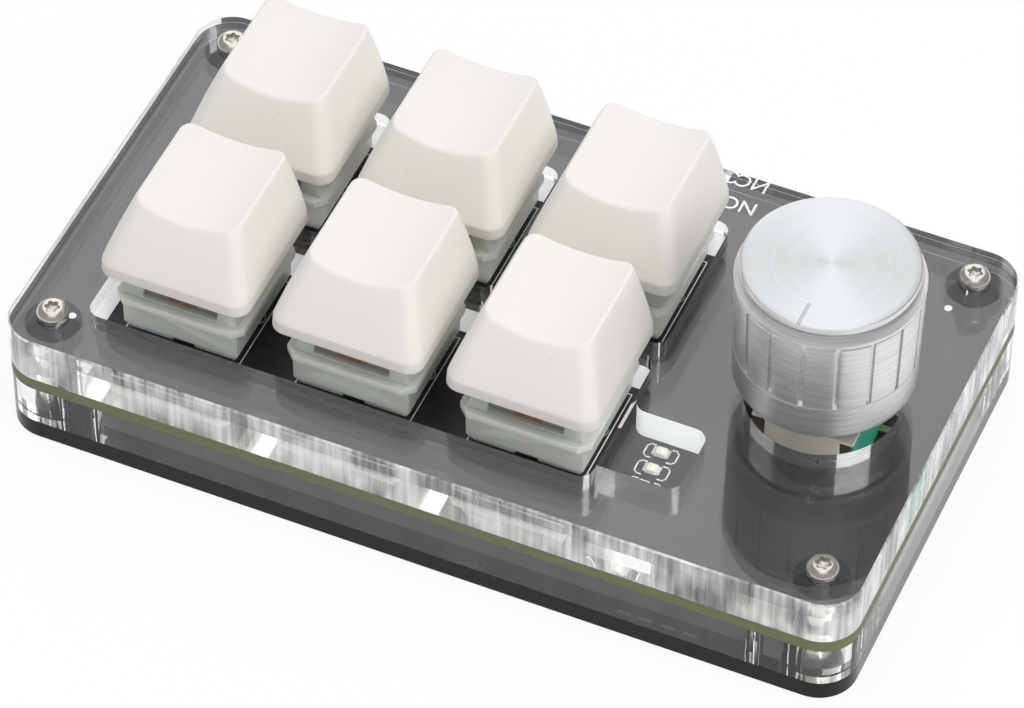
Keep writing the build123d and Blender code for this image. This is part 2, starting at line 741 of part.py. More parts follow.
# Solder pins of the encoder: each comes out of the base's side, bends down and passes the board
with BuildPart() as encoder_pins_part:
    for x, y in encoder_pins:
        side = 1 if x > 0 else -1
        reach = abs(x) - encoder_cage_width / 2 + encoder_pin_radius
        with BuildSketch(Plane.XY.offset(board_top + encoder_pin_height - encoder_pin_radius)):
            with Locations((knob_x + side * (encoder_cage_width + reach) / 2, knob_y + y)):
                Rectangle(reach, 2 * encoder_pin_radius)
        extrude(amount=encoder_pin_radius)
        with BuildSketch(Plane.XY.offset(board_top + encoder_pin_height - encoder_pin_length)):
            with Locations((knob_x + x, knob_y + y)):
                Circle(encoder_pin_radius)
        extrude(amount=encoder_pin_length)
finish(encoder_pins_part, "encoder_pins")

# Knob: turned body with flutes, stepped neck, spun disc with an index line, bored from below
knob_bottom = case_top + knob_lift
knob_top = knob_bottom + knob_height
neck_top = knob_height - knob_disc_thickness
rim_top = neck_top - knob_neck_height
shoulder_top = rim_top - knob_rim_height
body_top = shoulder_top - knob_shoulder_height
insert_bottom = knob_bottom + knob_recess_depth
knob_plane = Plane((knob_x, knob_y, knob_bottom), x_dir=(1, 0, 0), z_dir=(0, -1, 0))
with BuildPart() as knob:
    with BuildSketch(knob_plane):
        with BuildLine():
            Polyline(
                (0, 0),
                (knob_foot_radius, 0),
                (knob_waist_radius, knob_foot_height),
                (knob_body_radius, body_top),
                (knob_body_radius + knob_ledge, body_top),
                (knob_body_radius + knob_ledge, shoulder_top),
                (knob_rim_radius, rim_top),
                (knob_neck_radius, rim_top),
                (knob_neck_radius, neck_top),
                (knob_disc_radius, neck_top),
                (knob_disc_radius, knob_height),
                (0, knob_height),
                (0, 0),
            )
        make_face()
    revolve(axis=Axis((knob_x, knob_y, 0), (0, 0, 1)))
    with BuildSketch(Plane((knob_x, knob_y, knob_bottom + flute_bottom))):
        with PolarLocations(knob_body_radius, flute_count, start_angle=flute_turn):
            Rectangle(2 * flute_depth, flute_width)
    extrude(amount=body_top - flute_bottom, mode=Mode.SUBTRACT)
    with BuildSketch(Plane((knob_x, knob_y, knob_top))):
        with Locations((0, -(index_start + index_end) / 2)):
            Rectangle(index_width, index_end - index_start)
    extrude(amount=-index_depth, mode=Mode.SUBTRACT)
    with BuildSketch(Plane((knob_x, knob_y, knob_bottom))):
        Circle(knob_recess_radius)
    extrude(amount=knob_recess_depth, mode=Mode.SUBTRACT)
    with BuildSketch(Plane((knob_x, knob_y, insert_bottom))):
        Circle(insert_radius)
    extrude(amount=shaft_top - insert_bottom, mode=Mode.SUBTRACT)
finish(knob, "knob")

# Moulded insert that grips the flatted shaft inside the knob
with BuildPart() as knob_insert:
    with BuildSketch(Plane((knob_x, knob_y, insert_bottom))):
        Circle(insert_radius - insert_fit)
    extrude(amount=shaft_top - insert_bottom)
    with BuildSketch(Plane((knob_x, knob_y, insert_bottom))):
        d_section(shaft_radius + insert_fit, shaft_flat + insert_fit)
    extrude(amount=shaft_top - insert_bottom, mode=Mode.SUBTRACT)
    with BuildSketch(Plane((knob_x, knob_y, insert_bottom))):
        Circle(shaft_radius + insert_fit)
    extrude(amount=max(shaft_top - shaft_flat_length - insert_bottom, insert_fit), mode=Mode.SUBTRACT)
    with BuildSketch(Plane((knob_x, knob_y, insert_bottom))):
        with PolarLocations((insert_radius + shaft_radius) / 2, insert_rib_count):
            Circle((insert_radius - shaft_radius) / 4)
    extrude(amount=(shaft_top - insert_bottom) / 2, mode=Mode.SUBTRACT)
finish(knob_insert, "knob_insert")

# Port: drawn metal shell, open at the back edge, with the contact tongue inside
port_mouth_y = case_width / 2 + port_overhang
port_back_y = port_mouth_y - port_depth
port_centre_z = board_top + port_height / 2
with BuildPart() as usb_shell:
    with BuildSketch(Plane.XZ.offset(-port_back_y)):
        with Locations((port_x, port_centre_z)):
            RectangleRounded(port_width, port_height, port_corner_radius)
    extrude(amount=-port_depth)
    with BuildSketch(Plane.XZ.offset(-port_back_y - port_wall)):
        with Locations((port_x, port_centre_z)):
            RectangleRounded(
                port_width - 2 * port_wall, port_height - 2 * port_wall, port_corner_radius - port_wall
            )
    extrude(amount=-port_depth, mode=Mode.SUBTRACT)
finish(usb_shell, "usb_shell")

with BuildPart() as usb_tongue:
    with BuildSketch(Plane.XZ.offset(-port_back_y - port_wall)):
        with Locations((port_x, port_centre_z)):
            Rectangle(tongue_width, tongue_height)
    extrude(amount=-tongue_depth)
    tongue_tip = usb_tongue.faces().sort_by(Axis.Y)[-1].edges()
    chamfer(tongue_tip, length=tongue_height / 4)
finish(usb_tongue, "usb_tongue")

# Slide switch under the board: body with a slot, a lever that slides along X, three feet
power_back_y = case_width / 2 - power_inset
power_slot_z = board_z - power_height / 2
lever_rest_x = power_x + power_travel / 2
with BuildPart() as power_switch_body:
    with BuildSketch(Plane.XY.offset(board_z - power_height)):
        with Locations((power_x, power_back_y - power_depth / 2)):
            Rectangle(power_width, power_depth)
    extrude(amount=power_height)
    with BuildSketch(Plane.XZ.offset(-power_back_y)):
        with Locations((power_x, power_slot_z)):
            Rectangle(power_slot_width, power_slot_height)
    extrude(amount=power_slot_depth, mode=Mode.SUBTRACT)
finish(power_switch_body, "power_switch_body")

lever_height = power_slot_height - 2 * power_clearance
lever_inner_y = power_back_y - power_slot_depth + power_clearance
with BuildPart() as power_switch_lever:
    with BuildSketch(Plane.XZ.offset(-lever_inner_y)):
        with Locations((lever_rest_x, power_slot_z)):
            Rectangle(power_lever_width, lever_height)
    extrude(amount=-power_lever_length)
finish(power_switch_lever, "power_switch_lever")

with BuildPart() as power_switch_pins:
    with BuildSketch(Plane.XY.offset(board_z - power_pin_width / 2)):
        with Locations((power_x, power_back_y - power_depth - power_pin_width)):
            with GridLocations(power_width / 3, 0, 3, 1):
                Rectangle(power_pin_width, 2 * power_pin_width)
    extrude(amount=power_pin_width / 2)
finish(power_switch_pins, "power_switch_pins")

# Three small lamps on the board, in the bay of the upper spacer
with BuildPart() as status_leds:
    with BuildSketch(Plane.XY.offset(board_top)):
        with Locations((lamp_x, lamp_middle_y)):
            with GridLocations(0, lamp_pitch, 1, 3):
                Rectangle(lamp_length, lamp_width)
    extrude(amount=lamp_height)
    chamfer(status_leds.faces().group_by(Axis.Z)[-1].edges(), length=lamp_height / 3)
finish(status_leds, "status_leds")

# Controller, crystal and chip parts under the board, along the front wall of the hollow
hollow_front = -hollow_width / 2
controller_x = last_column_x + controller_from_last_column
controller_y = hollow_front + controller_wall_gap + controller_size / 2
crystal_x = controller_x - controller_size / 2 - crystal_gap - crystal_length / 2
chips_x = last_column_x + chips_from_last_column
chips_y = hollow_front + chips_wall_gap + ((chip_rows - 1) * chip_pitch + chip_width) / 2
with BuildPart() as microcontroller:
    with BuildSketch(Plane.XY.offset(board_z - controller_height)):
        with Locations((controller_x, controller_y)):
            Rectangle(controller_size, controller_size)
    extrude(amount=controller_height)
finish(microcontroller, "microcontroller")

with BuildPart() as crystal:
    with BuildSketch(Plane.XY.offset(board_z - crystal_height)):
        with Locations((crystal_x, controller_y)):
            Rectangle(crystal_length, crystal_width)
    extrude(amount=crystal_height)
finish(crystal, "crystal")

with BuildPart() as small_parts:
    with BuildSketch(Plane.XY.offset(board_z - chip_height)):
        with Locations((chips_x, chips_y)):
            with GridLocations(chip_pitch, chip_pitch, chip_columns, chip_rows):
                Rectangle(chip_length, chip_width)
    extrude(amount=chip_height)
finish(small_parts, "small_parts")
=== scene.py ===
from math import cos, hypot, pi, radians, sin, tau
from types import SimpleNamespace

import bmesh
import bpy
import numpy as np
from mathutils import Matrix, Vector


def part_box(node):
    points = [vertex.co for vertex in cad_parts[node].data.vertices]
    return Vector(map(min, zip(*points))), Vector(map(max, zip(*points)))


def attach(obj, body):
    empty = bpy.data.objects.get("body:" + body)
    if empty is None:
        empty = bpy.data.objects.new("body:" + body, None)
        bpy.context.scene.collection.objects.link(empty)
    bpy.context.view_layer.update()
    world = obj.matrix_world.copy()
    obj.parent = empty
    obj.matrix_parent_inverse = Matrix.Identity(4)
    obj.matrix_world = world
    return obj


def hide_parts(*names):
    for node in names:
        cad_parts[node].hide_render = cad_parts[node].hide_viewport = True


bl_info = {
    "name": "Macro Keypad Dresser",
    "version": (1, 0, 0),
    "blender": (4, 5, 0),
    "location": "3D View > Sidebar > Keypad",
    "description": "Dresses the packed keypad with caps, knob, clear plates, print, screws and finishes",
    "category": "Add Mesh",
}

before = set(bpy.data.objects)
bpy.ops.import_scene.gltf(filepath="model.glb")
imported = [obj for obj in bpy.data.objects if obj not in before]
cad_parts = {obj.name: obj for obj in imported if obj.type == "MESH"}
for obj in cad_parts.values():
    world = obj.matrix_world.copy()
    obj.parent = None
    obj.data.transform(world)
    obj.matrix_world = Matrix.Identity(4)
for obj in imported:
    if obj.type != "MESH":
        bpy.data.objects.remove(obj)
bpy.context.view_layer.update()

MM = 0.001
KEYS = range(1, 7)
# Half the depth of a lamp, and the radius of a standoff, in millimetres
LAMP_HALF = 0.625
STANDOFF_HALF = 1.75
# Radius of the screws' threaded shanks
SHANK = 0.99
# Finishes of a clear sheet, in the order of its materials; the wall finishes lay painted light and glow over
# the glass
PANE_FINISHES = ("Clear face", "Pale wall", "Clear wall", "White wall", "Edge wall")
FACE, PAINTED_LIGHT, CLEAR, PAINTED_GLOW, PAINTED_EDGE_GLOW = range(len(PANE_FINISHES))


def corners_mm(node):
    """Lowest and highest corner of a CAD node in millimetres."""
    low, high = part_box(node)
    return np.array(low) / MM, np.array(high) / MM


def centre_mm(node):
    """Middle of a CAD node's box in millimetres."""
    low, high = corners_mm(node)
    return (low + high) / 2


def key_places():
    """Middle of each key, seen from above."""
    return [centre_mm(f"keycap_{n}")[:2] for n in KEYS]


def screw_corner():
    """Place of the right back screw."""
    return corners_mm("standoffs")[1][:2] - STANDOFF_HALF


board_top = corners_mm("circuit_board")[1][2]
case_top = corners_mm("top_plate")[1][2]
knob_axis = centre_mm("encoder_bushing")[:2]
knob_foot = corners_mm("knob")[0][2]
knob_height = corners_mm("knob")[1][2] - knob_foot


# Settings

def length_setting(name, description, millimetres):
    """A length that a user can change."""
    return bpy.props.FloatProperty(
        name=name, description=description, unit="LENGTH", precision=5, default=millimetres * MM
    )


def angle_setting(name, description, degrees):
    """An angle that a user can change."""
    return bpy.props.FloatProperty(
        name=name, description=description, subtype="ANGLE", default=radians(degrees)
    )


def power_setting(name, description, watts):
    """The power of a lamp."""
    return bpy.props.FloatProperty(name=name, description=description, unit="POWER", default=watts)


def level_setting(name, description, level):
    """A brightness, or a share of a direction."""
    return bpy.props.FloatProperty(
        name=name, description=description, subtype="FACTOR", min=0, soft_max=2, default=level
    )


def colour_setting(name, description, default):
    """A colour that a user can change."""
    return bpy.props.FloatVectorProperty(
        name=name, description=description, subtype="COLOR", size=3, min=0, max=1, default=default
    )


class KeypadSizes(bpy.types.PropertyGroup):
    """Sizes of the dressed pieces."""

    cap_base: length_setting("Cap base", "Width of a keycap at its foot", 18.1)
    cap_band: length_setting("Cap band", "Height of the upright band", 1.5)
    cap_top_width: length_setting("Cap top width", "Left to right", 12.5)
    cap_top_depth: length_setting("Cap top depth", "Front to back", 13.3)
    cap_top_shift: length_setting("Cap top shift", "Lean to the back", 2.35)
    cap_dish_floor: length_setting("Dish floor", "Height of the scoop", 7.75)
    cap_dish_radius: length_setting("Dish radius", "Radius of the scoop", 19.5)
    cap_rim: length_setting("Cap rim", "Rounding of the top edge", 0.32)
    cap_wall: length_setting("Cap wall", "Wall of the hollow cap", 1.25)
    plate_gap: length_setting("Plate gap", "Air between stacked plates", 0.03)
    print_height: length_setting("Print height", "Thickness of the ink", 0.015)
    print_line: length_setting("Print line", "Width of a printed line", 0.16)
    outline_size: length_setting("Outline", "Printed square at a key", 14.0)
    thread_pitch: length_setting("Thread pitch", "Pitch of the case screws", 0.4)
    thread_depth: length_setting("Thread depth", "Depth of the thread", 0.16)
    flutes: bpy.props.IntProperty(name="Flutes", description="Grooves round the knob", default=17)
    flute_depth: length_setting("Flute depth", "Depth of a groove", 0.42)
    flute_turn: angle_setting("Flute turn", "Angle to the first groove", 0.0)


class KeypadColours(bpy.types.PropertyGroup):
    """Base colours of the finishes."""

    cap: colour_setting("Keycap", "Warm white moulded cap", (0.83, 0.82, 0.80))
    housing: colour_setting("Housing", "Milky switch housing", (0.76, 0.78, 0.72))
    stem: colour_setting("Stem", "Brown plunger", (0.19, 0.10, 0.06))
    mask: colour_setting("Board mask", "Black mask of the board", (0.012, 0.013, 0.013))
    laminate: colour_setting("Laminate", "Olive edge of the board", (0.150, 0.155, 0.072))
    ink: colour_setting("Ink", "White print", (0.78, 0.79, 0.78))
    aluminium: colour_setting("Aluminium", "Turned knob", (0.86, 0.865, 0.875))
    nickel: colour_setting("Nickel", "Case screws", (0.78, 0.74, 0.68))
    sheet: colour_setting("Encoder sheet", "Tinned cover under the knob", (0.70, 0.67, 0.58))
    green: colour_setting("Encoder base", "Green moulding", (0.02, 0.30, 0.19))


class KeypadStudio(bpy.types.PropertyGroup):
    """Camera and light."""

    azimuth: angle_setting("Azimuth", "Right of the front", 23.30)
    elevation: angle_setting("Elevation", "Above the table", 47.76)
    roll: angle_setting("Roll", "Turn of the frame", 0.42)
    distance: length_setting("Distance", "From the camera to the aim", 624.12)
    lens: bpy.props.FloatProperty(
        name="Lens", description="Focal length on a 36 mm sensor", unit="CAMERA", default=196.65
    )
    aim: bpy.props.FloatVectorProperty(
        name="Aim", description="Point at the middle", subtype="TRANSLATION",
        default=(0.000368, -0.001640, 0.008)
    )
    key_power: power_setting("Key light", "Watts of the large softbox", 1.3)
    fill_power: power_setting("Fill light", "Watts of the second softbox", 5.7)
    bank_level: level_setting("Bank level", "Light of the bank behind", 1.2)
    side_level: level_setting("Side level", "Light of the sides", 0.34)
    front_level: level_setting("Front level", "Light of the front", 0.40)
    bank_edge: level_setting("Bank edge", "Half width of the bright bank", 0.3)


def sizes_mm(context):
    """The lengths of the settings in millimetres, with counts and angles as they are."""
    group = context.scene.keypad_sizes
    values = {}
    for key in KeypadSizes.__annotations__:
        value = getattr(group, key)
        values[key] = value / MM if group.bl_rna.properties[key].unit == "LENGTH" else value
    return SimpleNamespace(**values)


# Node trees

class Number:
    """A socket of a node tree. Arithmetic on it adds Math nodes."""

    def __init__(self, graph, socket):
        self.graph = graph
        self.socket = socket

    def other(self, index):
        """Another output of the same node."""
        return Number(self.graph, self.socket.node.outputs[index])

    def __add__(self, value):
        return self.graph.sum("ADD", self, value)

    __radd__ = __add__

    def __sub__(self, value):
        return self.graph.sum("SUBTRACT", self, value)

    def __rsub__(self, value):
        return self.graph.sum("SUBTRACT", value, self)

    def __mul__(self, value):
        return self.graph.sum("MULTIPLY", self, value)

    __rmul__ = __mul__

    def __abs__(self):
        return self.graph.sum("ABSOLUTE", self)


class Graph:
    """Adds nodes to one shader or geometry tree."""

    def __init__(self, tree):
        self.tree = tree

    def make(self, kind, settings=None, sockets=None, out=0):
        """Adds a node: its settings first, then the values or links of its sockets."""
        node = self.tree.nodes.new(kind)
        for key, value in (settings or {}).items():
            if key == "stops":
                while len(node.color_ramp.elements) < len(value):
                    node.color_ramp.elements.new(0.5)
                for element, (place, colour) in zip(node.color_ramp.elements, value):
                    element.position = place
                    element.color = colour
            else:
                setattr(node, key, value)
        for key, value in (sockets or {}).items():
            self.feed(node.inputs[key], value)
        return Number(self, node.outputs[out])

    def feed(self, socket, value):
        """Links a socket or sets its value."""
        if isinstance(value, Number):
            self.tree.links.new(value.socket, socket)
        else:
            socket.default_value = value

    def sum(self, operation, *values):
        """A Math node."""
        return self.make("ShaderNodeMath", {"operation": operation}, dict(enumerate(values)))

    def parts(self, spot):
        """The three numbers of a place."""
        x = self.make("ShaderNodeSeparateXYZ", {}, {0: spot})
        return x, x.other(1), x.other(2)

    def ramp(self, value, low, high):
        """Value moved from low..high to 0..1 and clamped."""
        return self.make("ShaderNodeMapRange", {"clamp": True}, {0: value, 1: low, 2: high, 3: 0.0, 4: 1.0})

    def blend(self, share, first, second):
        """Colour mixed from two others."""
        full = [c if isinstance(c, Number) else (*c[:3], 1.0) for c in (first, second)]
        return self.make("ShaderNodeMix", {"data_type": "RGBA"}, {0: share, 6: full[0], 7: full[1]}, out=2)


class Finish(Graph):
    """One material: a Principled shader, its constants on its own sockets, what varies fed by nodes."""

    def __init__(self, name, colour, roughness, **constants):
        self.material = bpy.data.materials.new(name)
        self.material.use_nodes = True
        super().__init__(self.material.node_tree)
        self.shader = self.tree.nodes["Principled BSDF"]
        self.colour = (*colour, 1.0)
        self.shader.inputs["Base Color"].default_value = self.colour
        self.shader.inputs["Roughness"].default_value = roughness
        for key, value in constants.items():
            self.shader.inputs[key.replace("_", " ").title().replace("Ior", "IOR")].default_value = value
        self.material.diffuse_color = self.colour
        self.surface = Number(self, self.shader.outputs[0])

    def place(self, centre=(0, 0, 0)):
        """Object coordinates in millimetres about a centre."""
        spot = self.make("ShaderNodeTexCoord", out=3)
        return self.make("ShaderNodeMapping", {"vector_type": "TEXTURE"}, {
            "Vector": spot, "Location": tuple(c * MM for c in centre), "Scale": (MM, MM, MM),
        })

    def stretched(self, spot, x, y, z):
        """The same place with its axes scaled."""
        return self.make("ShaderNodeVectorMath", {"operation": "MULTIPLY"}, {0: spot, 1: (x, y, z)})

    def noise(self, spot, scale, detail=2.0, roughness=0.5):
        """Soft random value between 0 and 1."""
        sockets = {"Vector": spot, "Scale": scale, "Detail": detail, "Roughness": roughness}
        return self.make("ShaderNodeTexNoise", {}, sockets)

    def vary(self, key, value):
        """Feeds one of the shader's sockets."""
        self.feed(self.shader.inputs[key], value)

    def bump(self, height, depth_mm, strength):
        """Turns a height into the shader's normal."""
        sockets = {"Height": height, "Distance": depth_mm * MM, "Strength": strength}
        self.vary("Normal", self.make("ShaderNodeBump", {}, sockets))

    def facing(self):
        """Share of the true surface direction along Z."""
        return self.parts(self.make("ShaderNodeNewGeometry", out=3))[2]

    def covered(self, share, kind, sockets):
        """Lays another shader over this one."""
        over = self.make(kind, {}, sockets)
        self.surface = self.make("ShaderNodeMixShader", {}, {0: share, 1: self.surface, 2: over})
        self.feed(self.tree.nodes["Material Output"].inputs["Surface"], self.surface)

    def lets_lamps_through(self):
        """Rays that look for a lamp pass straight, so what is behind the pane is lit."""
        self.covered(self.make("ShaderNodeLightPath", out=1), "ShaderNodeBsdfTransparent", {0: (1, 1, 1, 1)})


def scaled(colour, share):
    """A colour made lighter or darker."""
    return tuple(min(1.0, c * share) for c in colour)


def keycap_finish(colours):
    """Warm white moulded plastic with a fine grain and a few dark specks."""
    f = Finish("Keycap plastic", colours.cap, 0.46)
    spot = f.place()
    cloud = f.noise(spot, 0.16, 3)
    speck_cell = f.make("ShaderNodeTexVoronoi", {"feature": "F1"}, {"Vector": spot, "Scale": 0.3})
    speck = f.ramp(speck_cell, 0.020, 0.012)
    warm = [a * b for a, b in zip(colours.cap, (1.0, 0.975, 0.945))]
    base = f.blend(cloud, scaled(warm, 0.955), scaled(warm, 0.995))
    f.vary("Base Color", f.blend(speck * 0.8, base, (0.16, 0.15, 0.14)))
    f.vary("Roughness", 0.42 + 0.1 * f.noise(spot, 1.4, 3))
    f.bump(f.noise(spot, 6.0, 4, 0.6), 0.012, 0.5)


def clear_finish():
    """Polished face of a clear sheet. The screws press the sheets together, so no film shows round them."""
    f = Finish("Clear face", (0.985, 0.99, 0.985), 0.0, ior=1.49, transmission_weight=1.0)
    spot = f.place()
    f.vary("Base Color", f.blend(f.noise(spot, 0.05, 2), (0.975, 0.985, 0.98), (0.99, 0.992, 0.99)))
    x, y, z = f.parts(spot)
    corner = screw_corner()
    aside, back = abs(x) - corner[0], abs(y) - corner[1]
    away = f.sum("SQRT", aside * aside + back * back)
    pressed = f.ramp(away, 3.3, 3.1) * f.ramp(z, case_top - 0.5, case_top - 1.0)
    f.covered(pressed, "ShaderNodeBsdfTransparent", {0: (1, 1, 1, 1)})
    f.lets_lamps_through()


def cut_finish(name, low, high, stripe, light_tint=(0.90, 0.92, 0.90), painted_glow=0.0, through=0.0):
    """Cut wall of a clear sheet with painted light: a pale, glowing layer in upright stripes stands in for
    the light that the sheet carries to its walls, clear between them.
    """
    f = Finish(name, (0.97, 0.98, 0.97), 0.0, ior=1.49, transmission_weight=1.0, specular_ior_level=0.3)
    spot = f.place()
    broad = f.ramp(f.noise(f.stretched(spot, 0.35 * stripe, 0.35 * stripe, 0.12), 1.0, 2), 0.38, 0.62)
    fine = f.ramp(f.noise(f.stretched(spot, 2.2 * stripe, 2.2 * stripe, 0.08), 1.0, 2), 0.35, 0.65)
    outside = 1.0 - (1.0 - through) * f.make("ShaderNodeNewGeometry", out=6)
    # Share of the painted light; seen from inside the sheet it shows only when through is set
    share = (low + (high - low) * (0.6 * broad + 0.4 * fine)) * outside
    f.vary("Roughness", 0.03 * fine)
    # The painted light: a pale diffuse layer that also glows
    f.covered(share, "ShaderNodeBsdfPrincipled", {
        "Base Color": (*light_tint, 1.0), "Roughness": 0.3,
        "Emission Color": (*light_tint, 1.0), "Emission Strength": painted_glow,
    })
    f.lets_lamps_through()


def black_sheet_finish():
    """Black base sheet with faint scuffs, its upright walls painted darker as shade."""
    f = Finish("Black sheet", (0.010, 0.010, 0.011), 0.10, specular_ior_level=0.2)
    spot = f.place()
    scuff = f.ramp(f.noise(f.stretched(spot, 0.15, 2.4, 2.4), 1.0, 5, 0.7), 0.52, 0.75)
    # Upright walls get a darker colour than the flat faces: painted shade
    wall = f.ramp(abs(f.facing()), 0.6, 0.4)
    f.vary("Roughness", 0.09 + 0.25 * scuff)
    dark = f.blend(wall, (0.009, 0.009, 0.010), (0.004, 0.004, 0.0045))
    f.vary("Base Color", f.blend(scuff, dark, (0.016, 0.016, 0.017)))


def board_finish(colours):
    """Black mask over copper tracks, with the olive laminate on the cut edges."""
    f = Finish("Board", colours.mask, 0.38)
    spot = f.place()
    edge = f.ramp(abs(f.facing()), 0.6, 0.4)
    layers = f.noise(f.stretched(spot, 0.35, 0.35, 9.0), 1.0, 3)
    laminate = f.blend(layers, scaled(colours.laminate, 0.62), scaled(colours.laminate, 1.35))
    half_pitch = 0.22
    line = f.sum("PINGPONG", f.parts(spot)[1], half_pitch) * (1 / half_pitch)
    run = f.ramp(f.noise(f.stretched(spot, 0.06, 2.2, 1.0), 1.0, 1), 0.50, 0.56)
    track = f.ramp(line, 0.62, 0.80) * run
    mask = f.blend(track, colours.mask, scaled(colours.mask, 1.9))
    f.vary("Base Color", f.blend(edge, mask, laminate))
    f.vary("Roughness", 0.32 + 0.12 * f.noise(spot, 0.9, 3) + 0.2 * edge)
    f.bump(track * 0.6 + 0.2 * f.noise(spot, 3.0, 2), 0.006, 0.3)


def ink_finish(colours):
    """White print, a little uneven."""
    f = Finish("White print", colours.ink, 0.6)
    patch = f.noise(f.place(), 2.2, 4)
    f.vary("Base Color", f.blend(patch, scaled(colours.ink, 0.86), scaled(colours.ink, 1.06)))
    f.bump(patch, 0.01, 0.4)


def housing_finish(colours, name, share):
    """Milky moulded plastic, a little see-through where it is thin."""
    f = Finish(name, scaled(colours.housing, share), 0.3, subsurface_weight=0.25, subsurface_scale=0.002)
    spot = f.place()
    cloud = f.noise(spot, 0.35, 3)
    deep, pale = scaled(colours.housing, share * 0.9), scaled(colours.housing, share * 1.06)
    f.vary("Base Color", f.blend(cloud, deep, pale))
    f.vary("Roughness", 0.26 + 0.14 * f.noise(spot, 1.3, 2))
    f.bump(f.noise(spot, 4.0, 3), 0.01, 0.3)


def moulded_finish(name, colour, roughness):
    """Plain moulded plastic with a fine grain."""
    f = Finish(name, colour, roughness)
    spot = f.place()
    cloud = f.noise(spot, 0.5, 3)
    f.vary("Base Color", f.blend(cloud, scaled(colour, 0.86), scaled(colour, 1.12)))
    f.vary("Roughness", roughness - 0.06 + 0.12 * f.noise(spot, 1.1, 2))
    f.bump(f.noise(spot, 3.0, 4, 0.6), 0.014, 0.4)


def slot_finish():
    """Pane in a switch's lamp slot, painted with the shade of the switch's inside seen through the slot, and
    the brown stem painted dimly at its middle.
    """
    f = Finish("Slot pane", (0.33, 0.30, 0.28), 0.25)
    spot = f.place((centre_mm("keycap_2")[0], 0, 0))
    pitch = centre_mm("keycap_3")[0] - centre_mm("keycap_2")[0]
    from_key = f.sum("PINGPONG", f.parts(spot)[0], pitch / 2)
    cloud = f.noise(spot, 0.9, 2)
    # Grey painted shade of the inside, brown painted stem in the middle
    shaded_inside = f.blend(cloud, (0.22, 0.20, 0.19), (0.40, 0.37, 0.35))
    brown = f.blend(cloud, (0.30, 0.15, 0.10), (0.40, 0.20, 0.13))
    f.vary("Base Color", f.blend(f.ramp(from_key, 1.9, 1.5), shaded_inside, brown))
    f.vary("Roughness", 0.2 + 0.15 * cloud)


def encoder_base_finish(colours):
    """Base of the encoder: green at the pin side, dark brown elsewhere."""
    f = Finish("Encoder moulding", colours.green, 0.4)
    spot = f.place((*knob_axis, 0))
    cloud = f.noise(spot, 0.5, 3)
    brown = f.blend(cloud, (0.030, 0.022, 0.018), (0.060, 0.045, 0.035))
    green = f.blend(cloud, scaled(colours.green, 0.85), scaled(colours.green, 1.15))
    f.vary("Base Color", f.blend(f.ramp(f.parts(spot)[0], 5.5, 5.7), brown, green))
    f.vary("Roughness", 0.36 + 0.12 * f.noise(spot, 1.1, 2))


def metal_finish(name, colour, roughness, stretch=(1, 1, 1), depth=0.01, scale=1.0, metallic=1.0):
    """Metal with fine marks along one direction."""
    f = Finish(name, colour, roughness, metallic=metallic)
    spot = f.place()
    marks = f.noise(f.stretched(spot, *stretch), scale, 4, 0.6)
    cloud = f.noise(spot, 0.3, 3)
    f.vary("Base Color", f.blend(cloud, scaled(colour, 0.88), scaled(colour, 1.08)))
    f.vary("Roughness", roughness - 0.05 + 0.14 * marks)
    f.bump(marks, depth, 0.5)


def spring_finish():
    """Gold-washed wire wound close: turns follow the height, with painted shade between them."""
    f = Finish("Spring wire", (0.78, 0.66, 0.42), 0.3, metallic=1.0)
    turn = f.sum("PINGPONG", f.parts(f.place())[2] * 2.4, 0.5) * 2.0
    # Dark between the turns: painted shade in the gaps of the coil
    f.vary("Base Color", f.blend(turn, (0.10, 0.08, 0.05), (0.80, 0.68, 0.45)))
    f.vary("Roughness", 0.45 - 0.2 * turn)
    f.bump(turn, 0.2, 0.8)


def turned_finish(colours):
    """Side of the knob: brushed round the axis, with fine turning lines."""
    f = Finish("Turned aluminium", colours.aluminium, 0.30, metallic=1.0, anisotropic=0.6,
               anisotropic_rotation=0.25)
    spot = f.place((*knob_axis, 0))
    lines = f.noise(f.stretched(spot, 0.15, 0.15, 6.5), 1.0, 5, 0.65)
    blotch = f.noise(f.stretched(spot, 0.25, 0.25, 1.0), 1.0, 3)
    sharp = f.ramp(lines, 0.35, 0.65)
    f.vary("Base Color", f.blend(sharp, scaled(colours.aluminium, 0.78), scaled(colours.aluminium, 1.06)))
    f.vary("Roughness", 0.24 + 0.12 * lines + 0.06 * blotch)
    f.bump(lines, 0.045, 0.6)


def spun_finish(colours):
    """Top of the knob: rings cut by the tool, and the index line engraved in it, painted darker as the shade
    in its groove.
    """
    f = Finish("Spun aluminium", colours.aluminium, 0.28, metallic=1.0, anisotropic=1.0,
               anisotropic_rotation=0.25)
    spot = f.place((*knob_axis, 0))
    x, y = f.parts(spot)[:2]
    away = f.sum("SQRT", x * x + y * y)
    ring = f.make("ShaderNodeCombineXYZ", {}, {0: away})
    rings = f.noise(ring, 5.0, 4, 0.7)
    broad = f.noise(ring, 1.1, 2)
    index = f.ramp(abs(x), 0.17, 0.11) * f.ramp(y, -6.35, -6.5)
    shine = f.blend(f.ramp(rings, 0.3, 0.7), scaled(colours.aluminium, 0.85), scaled(colours.aluminium, 0.97))
    # The engraved index line is painted darker: painted shade in its groove
    f.vary("Base Color", f.blend(index, shine, scaled(colours.aluminium, 0.74)))
    f.vary("Roughness", 0.20 + 0.06 * rings + 0.03 * broad)
    f.bump(rings - 0.8 * index, 0.05, 0.7)


